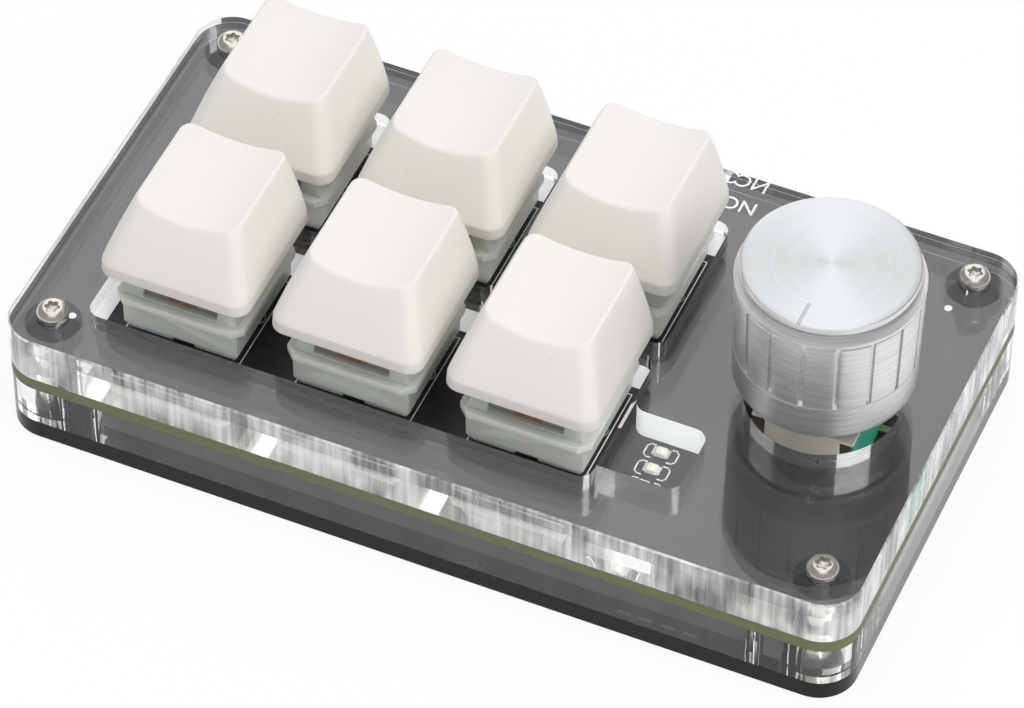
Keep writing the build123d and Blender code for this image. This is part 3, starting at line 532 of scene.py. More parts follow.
def finishes(context):
    """Makes every material once and keeps it by name."""
    if "Keycap plastic" not in bpy.data.materials:
        c = context.scene.keypad_colours
        keycap_finish(c)
        clear_finish()
        # Wall finishes of the clear sheets, with painted light and glow in place of the light carried through
        # the acrylic
        cut_finish("Pale wall", 0.10, 0.75, 0.7, painted_glow=0.15)
        cut_finish("Clear wall", 0.0, 0.03, 1.0)
        cut_finish("White wall", 0.80, 0.97, 0.3, (0.93, 0.94, 0.95), 0.42)
        cut_finish("Edge wall", 0.75, 1.0, 0.3, light_tint=(0.93, 0.90, 0.90), painted_glow=0.4, through=1.0)
        black_sheet_finish()
        board_finish(c)
        ink_finish(c)
        housing_finish(c, "Milky housing", 1.0)
        housing_finish(c, "Milky hood", 0.93)
        moulded_finish("Brown stem", c.stem, 0.35)
        moulded_finish("Black moulding", (0.018, 0.018, 0.019), 0.4)
        encoder_base_finish(c)
        slot_finish()
        moulded_finish("Pale moulding", (0.55, 0.53, 0.48), 0.4)
        moulded_finish("Lamp body", (0.66, 0.66, 0.60), 0.3)
        moulded_finish("Lamp lens", (0.80, 0.76, 0.52), 0.15)
        moulded_finish("Chip ceramic", (0.30, 0.24, 0.17), 0.5)
        metal_finish("Nickel", c.nickel, 0.2, (1, 1, 1), 0.008, 2.5)
        metal_finish("Standoff metal", (0.72, 0.68, 0.60), 0.26, (0.4, 0.4, 6.0), 0.02)
        metal_finish("Encoder sheet", c.sheet, 0.38, (0.3, 4.0, 4.0), 0.01, metallic=0.35)
        metal_finish("Shell steel", (0.70, 0.70, 0.71), 0.25, (3.0, 0.3, 3.0), 0.008)
        metal_finish("Contact metal", (0.78, 0.58, 0.36), 0.25, (1, 1, 1), 0.01, 2.0)
        metal_finish("Gold contact", (0.86, 0.66, 0.28), 0.22, (1, 1, 1), 0.006, 3.0)
        spring_finish()
        turned_finish(c)
        spun_finish(c)


def stuff(name):
    """A finished material by its name."""
    return bpy.data.materials[name]


# Meshes

def new_piece(name, points, faces, materials, smooth=35.0):
    """A mesh object from points in millimetres, with outward faces and sharp edges kept."""
    mesh = bpy.data.meshes.new(name)
    mesh.from_pydata([tuple(p * MM for p in point) for point in points], [], faces)
    work = bmesh.new()
    work.from_mesh(mesh)
    bmesh.ops.remove_doubles(work, verts=work.verts, dist=1e-7)
    bmesh.ops.recalc_face_normals(work, faces=work.faces)
    work.to_mesh(mesh)
    work.free()
    for name_of in materials:
        mesh.materials.append(stuff(name_of))
    return show(name, mesh, smooth)


def linked(name, data):
    """A new object in the scene."""
    piece = bpy.data.objects.new(name, data)
    bpy.context.scene.collection.objects.link(piece)
    return piece


def show(name, mesh, smooth=35.0):
    """Puts a mesh in the scene with smooth faces and sharp corners."""
    mesh.shade_smooth()
    mesh.set_sharp_from_angle(angle=radians(smooth))
    return linked(name, mesh)


def seat(piece, body, slot, *nodes):
    """Lets a piece ride on a body and hides the CAD nodes that it stands for. The slot is not used."""
    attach(piece, body)
    if nodes:
        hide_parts(*nodes)


def plain_mesh(piece):
    """The evaluated mesh of an object whose modifiers end here."""
    depsgraph = bpy.context.evaluated_depsgraph_get()
    return bpy.data.meshes.new_from_object(piece.evaluated_get(depsgraph), depsgraph=depsgraph)


def remove(piece):
    """Takes a helper object out of the file."""
    bpy.data.objects.remove(piece, do_unlink=True)


def settled(piece, smooth):
    """The piece with its modifiers applied, under the same name."""
    mesh = plain_mesh(piece)
    name = piece.name
    remove(piece)
    mesh.name = name
    return show(name, mesh, smooth)


def skin(rings):
    """Quads between rings of equal length, with a fan to a middle point at both ends."""
    count = len(rings[0])
    points = [tuple(p) for ring in rings for p in ring]
    faces = []
    for row in range(len(rings) - 1):
        for i in range(count):
            j = (i + 1) % count
            low, high = row * count, (row + 1) * count
            faces.append((low + i, low + j, high + j, high + i))
    for ring, start in ((rings[0], 0), (rings[-1], (len(rings) - 1) * count)):
        middle = len(points)
        points.append(tuple(np.mean(ring, axis=0)))
        faces += [(start + i, start + (i + 1) % count, middle) for i in range(count)]
    return points, faces


def round_line(x, y, radius, steps):
    """Flat points on a circle."""
    return [(x + radius * cos(t), y + radius * sin(t)) for t in np.linspace(0, tau, steps + 1)[:-1]]


def ring_at(radius, height, steps, centre=(0, 0)):
    """Points on a circle at a height."""
    turn = np.linspace(0, tau, steps, endpoint=False)
    return np.column_stack(
        [centre[0] + radius * np.cos(turn), centre[1] + radius * np.sin(turn), np.full(steps, height)]
    )


def lathe(profile, steps, centre=(0, 0)):
    """Rings of a turned shape from radius and height pairs."""
    return [ring_at(radius, height, steps, centre) for radius, height in profile]


def joined(shapes):
    """Several point and face lists as one."""
    points, faces = [], []
    for some_points, some_faces in shapes:
        faces += [tuple(v + len(points) for v in face) for face in some_faces]
        points += some_points
    return points, faces


def brick(low, high, soft=0.0):
    """A block with its four upright edges and its top edge cut by soft."""
    x0, y0, z0 = low
    x1, y1, z1 = high
    rings = []
    for inset, z in ((0.0, z0), (0.0, z1 - soft), (soft, z1)):
        a, b, c, d = x0 + inset, x1 - inset, y0 + inset, y1 - inset
        cut = max(soft, 1e-3)
        rings.append([
            (a + cut, c, z), (b - cut, c, z), (b, c + cut, z), (b, d - cut, z),
            (b - cut, d, z), (a + cut, d, z), (a, d - cut, z), (a, c + cut, z),
        ])
    return skin([np.array(ring) for ring in rings])


def ribbon(line, width, low, high, closed=False):
    """A flat printed line along points on the board."""
    shapes = []
    pairs = list(zip(line, line[1:] + line[:1])) if closed else list(zip(line, line[1:]))
    for (x0, y0), (x1, y1) in pairs:
        length = max(hypot(x1 - x0, y1 - y0), 1e-6)
        ax, ay = (x1 - x0) / length * width / 2, (y1 - y0) / length * width / 2
        flat = [
            (x0 - ax + ay, y0 - ay - ax), (x1 + ax + ay, y1 + ay - ax),
            (x1 + ax - ay, y1 + ay + ax), (x0 - ax - ay, y0 - ay + ax),
        ]
        shapes.append(skin([np.array([(x, y, z) for x, y in flat]) for z in (low, high)]))
    return joined(shapes)


def cad_copy(node, name, materials):
    """A merged copy of a CAD node's mesh, ready to be finished as a piece of its own."""
    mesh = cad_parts[node].data.copy()
    mesh.name = name
    mesh.materials.clear()
    for name_of in materials:
        mesh.materials.append(stuff(name_of))
    work = bmesh.new()
    work.from_mesh(mesh)
    bmesh.ops.remove_doubles(work, verts=work.verts, dist=2e-7)
    bmesh.ops.dissolve_limit(work, angle_limit=radians(0.6), verts=work.verts, edges=work.edges)
    work.to_mesh(mesh)
    work.free()
    return show(name, mesh)


def softened(piece, width):
    """Rounds the sharp edges of a copied part."""
    edge = piece.modifiers.new("Edge", "BEVEL")
    edge.width = width * MM
    edge.segments = 2
    edge.limit_method = "ANGLE"
    edge.angle_limit = radians(40)
    edge.use_clamp_overlap = True
    edge.miter_outer = "MITER_ARC"
    return settled(piece, 50)


def dress(node, name_of):
    """Gives a CAD node a better material."""
    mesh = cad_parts[node].data
    mesh.materials.clear()
    mesh.materials.append(stuff(name_of))


# Geometry Nodes

class Field(Graph):
    """A geometry tree with named inputs, turned into a plain mesh when it is grown."""

    def __init__(self, name, inputs):
        self.group = bpy.data.node_groups.new(name, "GeometryNodeTree")
        super().__init__(self.group)
        self.keys = {}
        for label, (kind, _) in inputs.items():
            socket = self.group.interface.new_socket(label, in_out="INPUT", socket_type=kind)
            self.keys[label] = socket.identifier
        self.group.interface.new_socket("Geometry", in_out="OUTPUT", socket_type="NodeSocketGeometry")
        self.inputs = inputs
        self.start = self.group.nodes.new("NodeGroupInput")

    def given(self, label):
        """The tree's own input of that name."""
        return Number(self, self.start.outputs[label])

    def grow(self, name, geometry, smooth=35.0):
        """Ends the tree in plain geometry with its material and returns the finished piece."""
        real = self.make("GeometryNodeRealizeInstances", {}, {0: geometry})
        painted = self.make("GeometryNodeSetMaterial", {}, {
            "Geometry": real, "Material": self.given("Material"),
        })
        end = self.group.nodes.new("NodeGroupOutput")
        self.feed(end.inputs[0], painted)
        carrier = linked(name, bpy.data.meshes.new(name))
        modifier = carrier.modifiers.new("Grow", "NODES")
        modifier.node_group = self.group
        for label, (_, value) in self.inputs.items():
            modifier[self.keys[label]] = value
        return settled(carrier, smooth)


def four_corner_field(name, pattern, spacing, material, seed):
    """Copies of a fitting at the four corners, each turned by its own angle, as one piece."""
    field = Field(name, {
        "Spacing X": ("NodeSocketFloat", spacing[0] * MM),
        "Spacing Y": ("NodeSocketFloat", spacing[1] * MM),
        "Fitting": ("NodeSocketObject", pattern),
        "Seed": ("NodeSocketInt", seed),
        "Material": ("NodeSocketMaterial", stuff(material)),
    })
    grid = field.make("GeometryNodeMeshGrid", {}, {
        "Size X": field.given("Spacing X"), "Size Y": field.given("Spacing Y"),
        "Vertices X": 2, "Vertices Y": 2,
    })
    fitting = field.make("GeometryNodeObjectInfo", {}, {"Object": field.given("Fitting")}, out=4)
    angle = field.make("FunctionNodeRandomValue", {"data_type": "FLOAT"}, {
        2: 0.0, 3: tau, "Seed": field.given("Seed"),
    }, out=1)
    turn = field.make("ShaderNodeCombineXYZ", {}, {2: angle})
    copies = field.make("GeometryNodeInstanceOnPoints", {}, {
        "Points": grid, "Instance": fitting, "Rotation": turn,
    })
    piece = field.grow(name, copies)
    remove(pattern)
    return piece


def row_field(name, pattern, first, step, count, material):
    """Copies of a fitting in a straight row, as one piece."""
    field = Field(name, {
        "First": ("NodeSocketVector", tuple(c * MM for c in first)),
        "Step": ("NodeSocketVector", tuple(c * MM for c in step)),
        "Count": ("NodeSocketInt", count),
        "Fitting": ("NodeSocketObject", pattern),
        "Material": ("NodeSocketMaterial", stuff(material)),
    })
    line = field.make("GeometryNodeMeshLine", {}, {
        "Count": field.given("Count"), "Start Location": field.given("First"), "Offset": field.given("Step"),
    })
    fitting = field.make("GeometryNodeObjectInfo", {}, {"Object": field.given("Fitting")}, out=4)
    copies = field.make("GeometryNodeInstanceOnPoints", {}, {"Points": line, "Instance": fitting})
    piece = field.grow(name, copies)
    remove(pattern)
    return piece


# Keycaps

def rounded_frame(corner_steps=7, side_steps=10):
    """Unit description of a rounded rectangle: corner share and outward direction of each point."""
    share, out = [], []
    corners = [(1, 1), (-1, 1), (-1, -1), (1, -1)]
    for k, corner in enumerate(corners):
        after = corners[(k + 1) % 4]
        for t in np.linspace(0, pi / 2, corner_steps + 1):
            share.append(corner)
            out.append((cos(k * pi / 2 + t), sin(k * pi / 2 + t)))
        end = (cos((k + 1) * pi / 2), sin((k + 1) * pi / 2))
        for s in np.linspace(0, 1, side_steps + 1)[1:-1]:
            share.append(tuple(np.array(corner) * (1 - s) + np.array(after) * s))
            out.append(end)
    return np.array(share), np.array(out)


def keycap_shape(sizes, place):
    """Points and faces of one hollow keycap with a scooped top, its foot at the given place."""
    share, out = rounded_frame()
    top, bend, draft, bulge, roof = 8.85, 2.3, 0.1, 0.12, 1.4
    foot_corner, corner_loss, sharpest, inner_corner = 1.9, 0.35, 0.35, 0.8
    band = sizes.cap_base / 2 - draft

    def halves(height):
        rise = np.clip((height - sizes.cap_band) / (top - sizes.cap_band), 0, 1)
        drawn = np.clip(height / sizes.cap_band, 0, 1)
        foot = sizes.cap_base / 2 - draft * drawn
        half_x = foot + rise * (sizes.cap_top_width / 2 - band)
        half_y = foot + rise * (sizes.cap_top_depth / 2 - band)
        bow = bulge * np.sin(rise * pi)
        corner = foot_corner - corner_loss * rise
        return half_x + bow, half_y + bow, rise * sizes.cap_top_shift, corner

    def ring(height, inset=0.0, inner=None):
        height = np.broadcast_to(np.asarray(height, float), (len(share),))
        half_x, half_y, shift, radius = halves(height)
        radius = np.maximum(radius - inset, sharpest)
        if inner is not None:
            half_x, half_y = half_x - inner, half_y - inner
            radius = np.full(len(share), inner_corner)
        x = share[:, 0] * (half_x - inset - radius) + radius * out[:, 0]
        y = share[:, 1] * (half_y - inset - radius) + radius * out[:, 1] + shift
        return np.column_stack([x, y, height])

    def scoop(x):
        return sizes.cap_dish_floor + sizes.cap_dish_radius - np.sqrt(sizes.cap_dish_radius ** 2 - x ** 2)

    ceiling = sizes.cap_dish_floor - roof
    rings = [ring(ceiling, inner=sizes.cap_wall), ring(sizes.cap_band, inner=sizes.cap_wall)]
    rings += [ring(0.0, inner=sizes.cap_wall), ring(0.0, 0.1), ring(0.1, 0.02)]
    rings += [ring(h) for h in (0.3, 0.8, 1.25, 1.42, 1.6, 1.85, bend)]
    rim = sizes.cap_rim
    edge = ring(top - 0.3)
    for _ in range(3):
        limit = scoop(edge[:, 0]) - rim
        edge = ring(limit)
    for s in (0.2, 0.4, 0.6, 0.8, 1.0):
        rings.append(ring(bend + s * (limit - bend)))
    for turn in np.radians([20, 40, 60, 75, 90]):
        rolled = ring(limit + rim * sin(turn), rim * (1 - cos(turn)))
        rolled[:, 2] = scoop(rolled[:, 0]) - rim * (1 - sin(turn))
        rings.append(rolled)
    last = rings[-1]
    middle = np.array([0.0, sizes.cap_top_shift, 0.0])
    for s in (0.94, 0.85, 0.7, 0.5, 0.3, 0.12):
        inward = middle + (last - middle) * s
        inward[:, 2] = scoop(inward[:, 0])
        rings.append(inward)
    shell = skin(rings)
    shell[0][-1] = (0.0, sizes.cap_top_shift, sizes.cap_dish_floor)
    socket = socket_shape(1.4, ceiling + 0.1)
    points, faces = joined([shell, socket])
    return [(x + place[0], y + place[1], z + place[2]) for x, y, z in points], faces


def socket_shape(low, high):
    """Round socket under a cap, with the cross-shaped hole for the stem."""
    long, short, radius = 2.065, 0.665, 2.75
    corner = [(long, -short), (long, short), (short, short), (short, long)]
    hole = []
    for quarter in range(4):
        c, s = round(cos(quarter * pi / 2)), round(sin(quarter * pi / 2))
        hole += [(x * c - y * s, x * s + y * c) for x, y in corner[1:]]
    inner = []
    for (x0, y0), (x1, y1) in zip(hole, hole[1:] + hole[:1]):
        inner += [(x0 + (x1 - x0) * t, y0 + (y1 - y0) * t) for t in (0, 0.25, 0.5, 0.75)]
    inner = np.array(inner)
    outer = inner / np.linalg.norm(inner, axis=1)[:, None] * radius

    def level(flat, z):
        return np.column_stack([flat, np.full(len(flat), z)])

    count = len(inner)
    rings = [level(outer, high), level(outer, low), level(inner, low), level(inner, high)]
    points = [tuple(p) for r in rings for p in r]
    faces = []
    for row in range(4):
        after = (row + 1) % 4
        for i in range(count):
            j = (i + 1) % count
            faces.append((row * count + i, row * count + j, after * count + j, after * count + i))
    return points, faces


class KEYPAD_OT_keycaps(bpy.types.Operator):
    """Adds the six scooped keycaps on their keys"""

    bl_idname = "keypad.keycaps"
    bl_label = "Keycaps"

    def execute(self, context):
        finishes(context)
        for n in KEYS:
            low, high = corners_mm(f"keycap_{n}")
            place = ((low[0] + high[0]) / 2, (low[1] + high[1]) / 2, low[2])
            points, faces = keycap_shape(sizes_mm(context), place)
            cap = new_piece(f"cap_{n}", points, faces, ["Keycap plastic"], 32)
            seat(cap, f"key_{n}", "keycap_white", f"keycap_{n}")
        return {"FINISHED"}


class KEYPAD_OT_switches(bpy.types.Operator):
    """Adds the key switches with softened housings"""

    bl_idname = "keypad.switches"
    bl_label = "Key switches"

    def execute(self, context):
        finishes(context)
        for n in KEYS:
            base = softened(cad_copy(f"switch_base_{n}", f"housing_{n}", ["Milky housing"]), 0.12)
            seat(base, "case", "switch_milky", f"switch_base_{n}")
            hood = softened(cad_copy(f"switch_top_{n}", f"hood_{n}", ["Milky hood"]), 0.1)
            seat(hood, "case", "switch_milky", f"switch_top_{n}")
            dress(f"switch_stem_{n}", "Brown stem")
            dress(f"switch_spring_{n}", "Spring wire")
        dress("switch_contacts", "Contact metal")
        # Opaque dark panes in the lamp slots of the switches, carrying painted shade of their insides
        half, front, back, foot, top = 4.5, -6.25, -6.05, board_top + 6.3, board_top + 8.1
        panes = [brick((x - half, y + front, foot), (x + half, y + back, top)) for x, y in key_places()]
        slots = new_piece("slot_panes", *joined(panes), ["Slot pane"])
        seat(slots, "case", "switch_milky")
        return {"FINISHED"}


# Plates

class KEYPAD_OT_plates(bpy.types.Operator):
    """Adds the clear plates with a film of air between them, and the black base"""

    bl_idname = "keypad.plates"
    bl_label = "Plates"

    def execute(self, context):
        finishes(context)
        gap = sizes_mm(context).plate_gap * MM
        self.pane("top_plate", gap, 0.0, PAINTED_LIGHT, CLEAR)
        self.pane("upper_spacer", gap, 0.0, PAINTED_LIGHT, PAINTED_GLOW)
        self.pane("lower_spacer", gap / 2, gap / 2, CLEAR, PAINTED_GLOW)
        dress("bottom_plate", "Black sheet")
        return {"FINISHED"}

    def pane(self, node, foot_gap, top_gap, outer, inner):
        """A clear sheet with its faces thinned by the air gaps, its walls given clear glass or painted light
        and glow by where they look, and its sloped faces a painted highlight.
        """
        pane = cad_copy(node, f"clear_{node}", PANE_FINISHES)
        low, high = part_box(node)
        for vertex in pane.data.vertices:
            if vertex.co.z < low[2] + 1e-5:
                vertex.co.z = low[2] + foot_gap
            elif top_gap and vertex.co.z > high[2] - 1e-5:
                vertex.co.z = high[2] - top_gap
        if node != "lower_spacer":
            self.move_windows(pane.data)
        upright, level = 0.3, 0.95
        for face in pane.data.polygons:
            if abs(face.normal.z) < upright:
                face.material_index = self.wall(node, face, low, high, outer, inner)
            else:
                # Sloped faces such as the chamfers get the painted light wall finish, a painted highlight
                # along the edges
                face.material_index = PAINTED_LIGHT if abs(face.normal.z) < level else FACE
        seat(pane, "case", "clear_acrylic", node)

    def wall(self, node, face, low, high, outer, inner):
        """Which finish an upright wall gets: clear glass, or painted light and glow."""
        knob_hole, probe, sideways = 11.5, 4 * MM, 0.7
        if hypot(face.center.x / MM - knob_axis[0], face.center.y / MM - knob_axis[1]) < knob_hole:
            return CLEAR
        spot = face.center + face.normal * probe
        outside = not (low[0] < spot.x < high[0] and low[1] < spot.y < high[1])
        if node == "lower_spacer" and not outside and abs(face.normal.x) < sideways:
            return CLEAR
        # The top plate's left-facing outer walls get painted edge glow
        if node == "top_plate" and outside and face.normal.x < -sideways:
            return PAINTED_EDGE_GLOW
        return outer if outside else inner

    def move_windows(self, mesh):
        """The windows sit a little further to the front than the keys, with a narrow web between the rows."""
        left, right = -42.6, 18.0
        bay_left, bay_back = 17.5, -18.2
        front_row_moves = ((-19.6, -17.8, -1.9), (-2.2, -0.4, -1.6))
        back_row_moves = ((2.3, 4.1, -2.6), (19.7, 21.5, -1.5))
        for vertex in mesh.vertices:
            x, y = vertex.co.x / MM, vertex.co.y / MM
            at_bay = x > bay_left and abs(y - bay_back) < 0.03
            if left < x < right and not at_bay:
                moves = front_row_moves + back_row_moves
                vertex.co.y += MM * sum(move for low, high, move in moves if low < y < high)


# Board

class KEYPAD_OT_board(bpy.types.Operator):
    """Dresses the circuit board and prints its outlines, rings, lamp frames and switch mark"""

    bl_idname = "keypad.board"
    bl_label = "Circuit board"

    def execute(self, context):
        finishes(context)
        dress("circuit_board", "Board")
        sizes = sizes_mm(context)
        low, high = board_top, board_top + sizes.print_height
        marks = joined(self.marks(sizes, low, high))
        for piece in (
            self.outlines(sizes),
            new_piece("board_marks", *marks, ["White print"]),
            self.word("ON", (16.25, 25.1), 1.9, low, sizes.print_height),
        ):
            seat(piece, "case", "board")
        return {"FINISHED"}

    def marks(self, sizes, low, high):
        """A ring at each key, a bracket at both ends of each lamp, two test rings and two corner dots."""
        shapes = []
        for x, y in key_places():
            circle = round_line(x + 5.75, y + 0.55, 0.95, 32)
            shapes.append(ribbon(circle, sizes.print_line, low, high, closed=True))
        lamps_low, lamps_high = corners_mm("status_leds")
        x = (lamps_low[0] + lamps_high[0]) / 2
        half = [(1.0, 0.98), (1.5, 0.98), (1.85, 0.62)]
        for y in np.linspace(lamps_low[1] + LAMP_HALF, lamps_high[1] - LAMP_HALF, 3):
            for side in (-1, 1):
                bracket = [(x + side * a, y + b) for a, b in half]
                bracket += [(x + side * a, y - b) for a, b in reversed(half)]
                shapes.append(ribbon(bracket, sizes.print_line, low, high))
        for x, y in ((39.8, -10.0), (39.8, -11.5)):
            shapes.append(ribbon(round_line(x, y, 0.46, 24), 0.2, low, high, closed=True))
        for x, y in ((-45.1, -19.7), (43.6, 20.8)):
            shapes.append(skin(lathe([(0.45, low), (0.45, high)], 24, (x, y))))
        return shapes

    def outlines(self, sizes):
        """One printed square round each switch, spread by a geometry tree."""
        places = key_places()
        pitch_x, pitch_y = places[1][0] - places[0][0], places[3][1] - places[0][1]
        middle = (places[1][0], (places[0][1] + places[3][1]) / 2 - 0.2)
        field = Field("Key outlines", {
            "Pitch X": ("NodeSocketFloat", pitch_x * MM),
            "Pitch Y": ("NodeSocketFloat", pitch_y * MM),
            "Square": ("NodeSocketFloat", sizes.outline_size * MM),
            "Line": ("NodeSocketFloat", sizes.print_line * MM),
            "Place": ("NodeSocketVector", (middle[0] * MM, middle[1] * MM, (board_top + 0.008) * MM)),
            "Material": ("NodeSocketMaterial", stuff("White print")),
        })
        grid = field.make("GeometryNodeMeshGrid", {}, {
            "Size X": field.given("Pitch X") * 2.0, "Size Y": field.given("Pitch Y"),
            "Vertices X": 3, "Vertices Y": 2,
        })
        moved = field.make("GeometryNodeTransform", {}, {0: grid, "Translation": field.given("Place")})
        square = field.make("GeometryNodeCurvePrimitiveQuadrilateral", {"mode": "RECTANGLE"}, {
            0: field.given("Square"), 1: field.given("Square"),
        })
        stroke = field.make("GeometryNodeCurvePrimitiveQuadrilateral", {"mode": "RECTANGLE"}, {
            0: field.given("Line"), 1: sizes.print_height * MM,
        })
        tube = field.make("GeometryNodeCurveToMesh", {}, {0: square, 1: stroke, "Fill Caps": True})
        copies = field.make("GeometryNodeInstanceOnPoints", {}, {"Points": moved, "Instance": tube})
        return field.grow("board_outlines", copies)

    def word(self, text, place, height, z, thickness):
        """A short printed word as a mesh."""
        curve = bpy.data.curves.new("print_word", "FONT")
        curve.body = text
        curve.align_x = "CENTER"
        curve.size = height * MM / 0.7
        curve.extrude = thickness * MM / 2
        carrier = linked("print_word", curve)
        mesh = plain_mesh(carrier)
        remove(carrier)
        mesh.transform(Matrix.Translation((place[0] * MM, place[1] * MM, (z + thickness / 2) * MM)))
        mesh.materials.clear()
        mesh.materials.append(stuff("White print"))
        return show("board_word", mesh)


# Knob and encoder

def knob_shape(sizes):
    """Side and underside of the knob with its flutes, and its spun disc, as two shapes."""
    flutes, depth = sizes.flutes, sizes.flute_depth
    segment = tau / flutes
    # One groove: places along the rim in millimetres, and the share of its depth there
    rim_radius = 10.2
    across = [-0.33, -0.29, -0.265, -0.22, -0.08, 0.08, 0.22, 0.265, 0.29, 0.33]
    drop = [0.0, 0.015, 0.07, 0.85, 1.0, 1.0, 0.85, 0.07, 0.015, 0.0]
    angles, cut = [], []
    for k in range(flutes):
        middle = k * segment + sizes.flute_turn
        angles += [middle + a / rim_radius for a in across]
        cut += drop
        panel_start = middle + across[-1] / rim_radius
        panel_end = middle + segment + across[0] / rim_radius
        for s in np.linspace(0, 1, 10)[1:-1]:
            angles.append(panel_start + (panel_end - panel_start) * s)
            cut.append(0.0)
    angles, cut = np.array(angles), np.array(cut)
    flute_foot, body_top, shoulder, rim, neck, top = 5.05, 14.75, 15.2, 16.2, 16.34, knob_height

    def ring(radius, z, flute=0.0):
        r = radius - depth * cut * flute
        return np.column_stack([
            knob_axis[0] + r * np.cos(angles), knob_axis[1] + r * np.sin(angles),
            np.full(len(r), knob_foot + z),
        ])

    def side(z):
        return 10.1 + 0.24 * min(1, max(0, (z - 0.7) / (body_top - 0.7)))

    rings = [ring(0.05, 11.8), ring(5.5, 11.8), ring(5.5, 2.85), ring(8.2, 2.85), ring(8.2, 0.1)]
    rings += [ring(8.3, 0.0), ring(9.55, 0.0), ring(9.68, 0.06), ring(10.0, 0.52), ring(10.1, 0.78)]
    rings += [ring(side(z), z) for z in (1.2, 2.5, 4.0, flute_foot - 0.16)]
    rings += [ring(side(z) - 0.05, z) for z in (flute_foot - 0.1, flute_foot - 0.04)]
    rings += [ring(side(z), z, f) for z, f in ((5.05, 0.0), (5.1, 0.3), (5.2, 0.75), (5.4, 0.95), (5.6, 1.0))]
    rings += [ring(side(z), z, 1.0) for z in (8.0, 11.0, 13.5, body_top - 0.38)]
    rings += [ring(side(body_top) - 0.16, body_top - 0.12, 1.0), ring(10.1, body_top - 0.1, 0.6)]
    rings += [ring(10.1, body_top - 0.02, 0.6), ring(10.34, body_top), ring(10.39, body_top + 0.04)]
    rings += [ring(10.39, shoulder - 0.06), ring(10.35, shoulder), ring(9.98, rim - 0.14), ring(9.82, rim)]
    rings += [ring(9.72, rim), ring(9.68, rim + 0.02), ring(9.66, neck), ring(9.2, neck + 0.02)]
    body = skin(rings)
    disc = [(9.1, neck + 0.01), (9.72, neck + 0.01), (9.75, neck + 0.05), (9.75, top - 0.14)]
    disc += [(9.72, top - 0.05)] + [(r, top) for r in (9.62, 9.0, 8.0, 6.5, 5.0, 3.5, 2.0, 1.0, 0.4)]
    rings = lathe([(r, knob_foot + z) for r, z in disc], 192, knob_axis)
    return body, skin(rings)


class KEYPAD_OT_knob(bpy.types.Operator):
    """Adds the fluted knob and dresses the encoder under it"""

    bl_idname = "keypad.knob"
    bl_label = "Knob and encoder"

    def execute(self, context):
        finishes(context)
        body, disc = knob_shape(sizes_mm(context))
        points, faces = joined([body, disc])
        knob = new_piece("fluted_knob", points, faces, ["Turned aluminium", "Spun aluminium"], 30)
        top = (knob_foot + knob_height - 0.06) * MM
        for face in knob.data.polygons:
            if face.center.z > top and abs(face.normal.z) > 0.8:
                face.material_index = 1
        seat(knob, "knob_body", "knob_aluminium", "knob")
        for node, name_of in (("knob_insert", "Black moulding"), ("encoder_shaft", "Encoder sheet"),
                              ("encoder_base", "Encoder moulding"), ("encoder_bushing", "Encoder sheet"),
                              ("encoder_rotor", "Pale moulding"), ("encoder_dome", "Contact metal"),
                              ("encoder_pins", "Contact metal")):
            dress(node, name_of)
        cage = softened(cad_copy("encoder_cage", "folded_cage", ["Encoder sheet"]), 0.1)
        seat(cage, "case", "encoder_metal", "encoder_cage")
        return {"FINISHED"}


# Screws

def threaded(radius, depth, pitch, low, high, steps=28):
    """Rings of a threaded shank from low to high."""
    rows = int((high - low) / (pitch / 6))
    turn = np.linspace(0, 1, steps, endpoint=False)
    rings = []
    for z in np.linspace(low, high, rows):
        wave = np.abs(((z / pitch - turn) % 1.0) * 2 - 1)
        fade = min(1.0, (z - low) / 0.3)
        r = radius - depth * (1 - wave * fade)
        rings.append(np.column_stack([r * np.cos(turn * tau), r * np.sin(turn * tau), np.full(steps, z)]))
    return rings


def lobed(mean, swing, z, steps=72):
    """A ring with six round lobes."""
    turn = np.linspace(0, tau, steps, endpoint=False)
    r = mean + swing * np.cos(6 * turn)
    return np.column_stack([r * np.cos(turn), r * np.sin(turn), np.full(steps, z)])


def recess(seat_z, *heights):
    """Rings of a six-lobe recess from its mouth to its floor."""
    lobes = ((0.80, 0.125), (0.77, 0.125), (0.75, 0.12), (0.4, 0.0))
    return [lobed(mean, swing, seat_z + z) for (mean, swing), z in zip(lobes, heights)]


def pan_screw(sizes, seat_z, tip_z):
    """A pan-head screw with a six-lobe recess on a threaded shank."""
    head = [(1.0, -0.02), (1.78, 0.0), (1.85, 0.06), (1.85, 0.42), (1.82, 0.60), (1.72, 0.80), (1.55, 0.99),
            (1.35, 1.14), (1.18, 1.22), (1.08, 1.245)]
    rings = lathe([(r, seat_z + z) for r, z in head], 72)
    rings += recess(seat_z, 1.25, 1.2, 0.6, 0.5)
    shank = threaded(SHANK, sizes.thread_depth, sizes.thread_pitch, tip_z, seat_z)
    return joined([skin(rings), skin(shank)])


def flat_screw(sizes, seat_z, tip_z):
    """A countersunk screw, its head down, with a six-lobe recess."""
    head = [(0.8, seat_z + 1.0), (1.0, seat_z + 0.88), (1.86, seat_z + 0.06), (1.88, seat_z), (1.2, seat_z)]
    rings = lathe(head, 72)
    rings += recess(seat_z, 0.0, 0.05, 0.6, 0.7)
    shank = threaded(SHANK, sizes.thread_depth, sizes.thread_pitch, seat_z + 0.8, tip_z)
    return joined([skin(rings), skin(shank)])


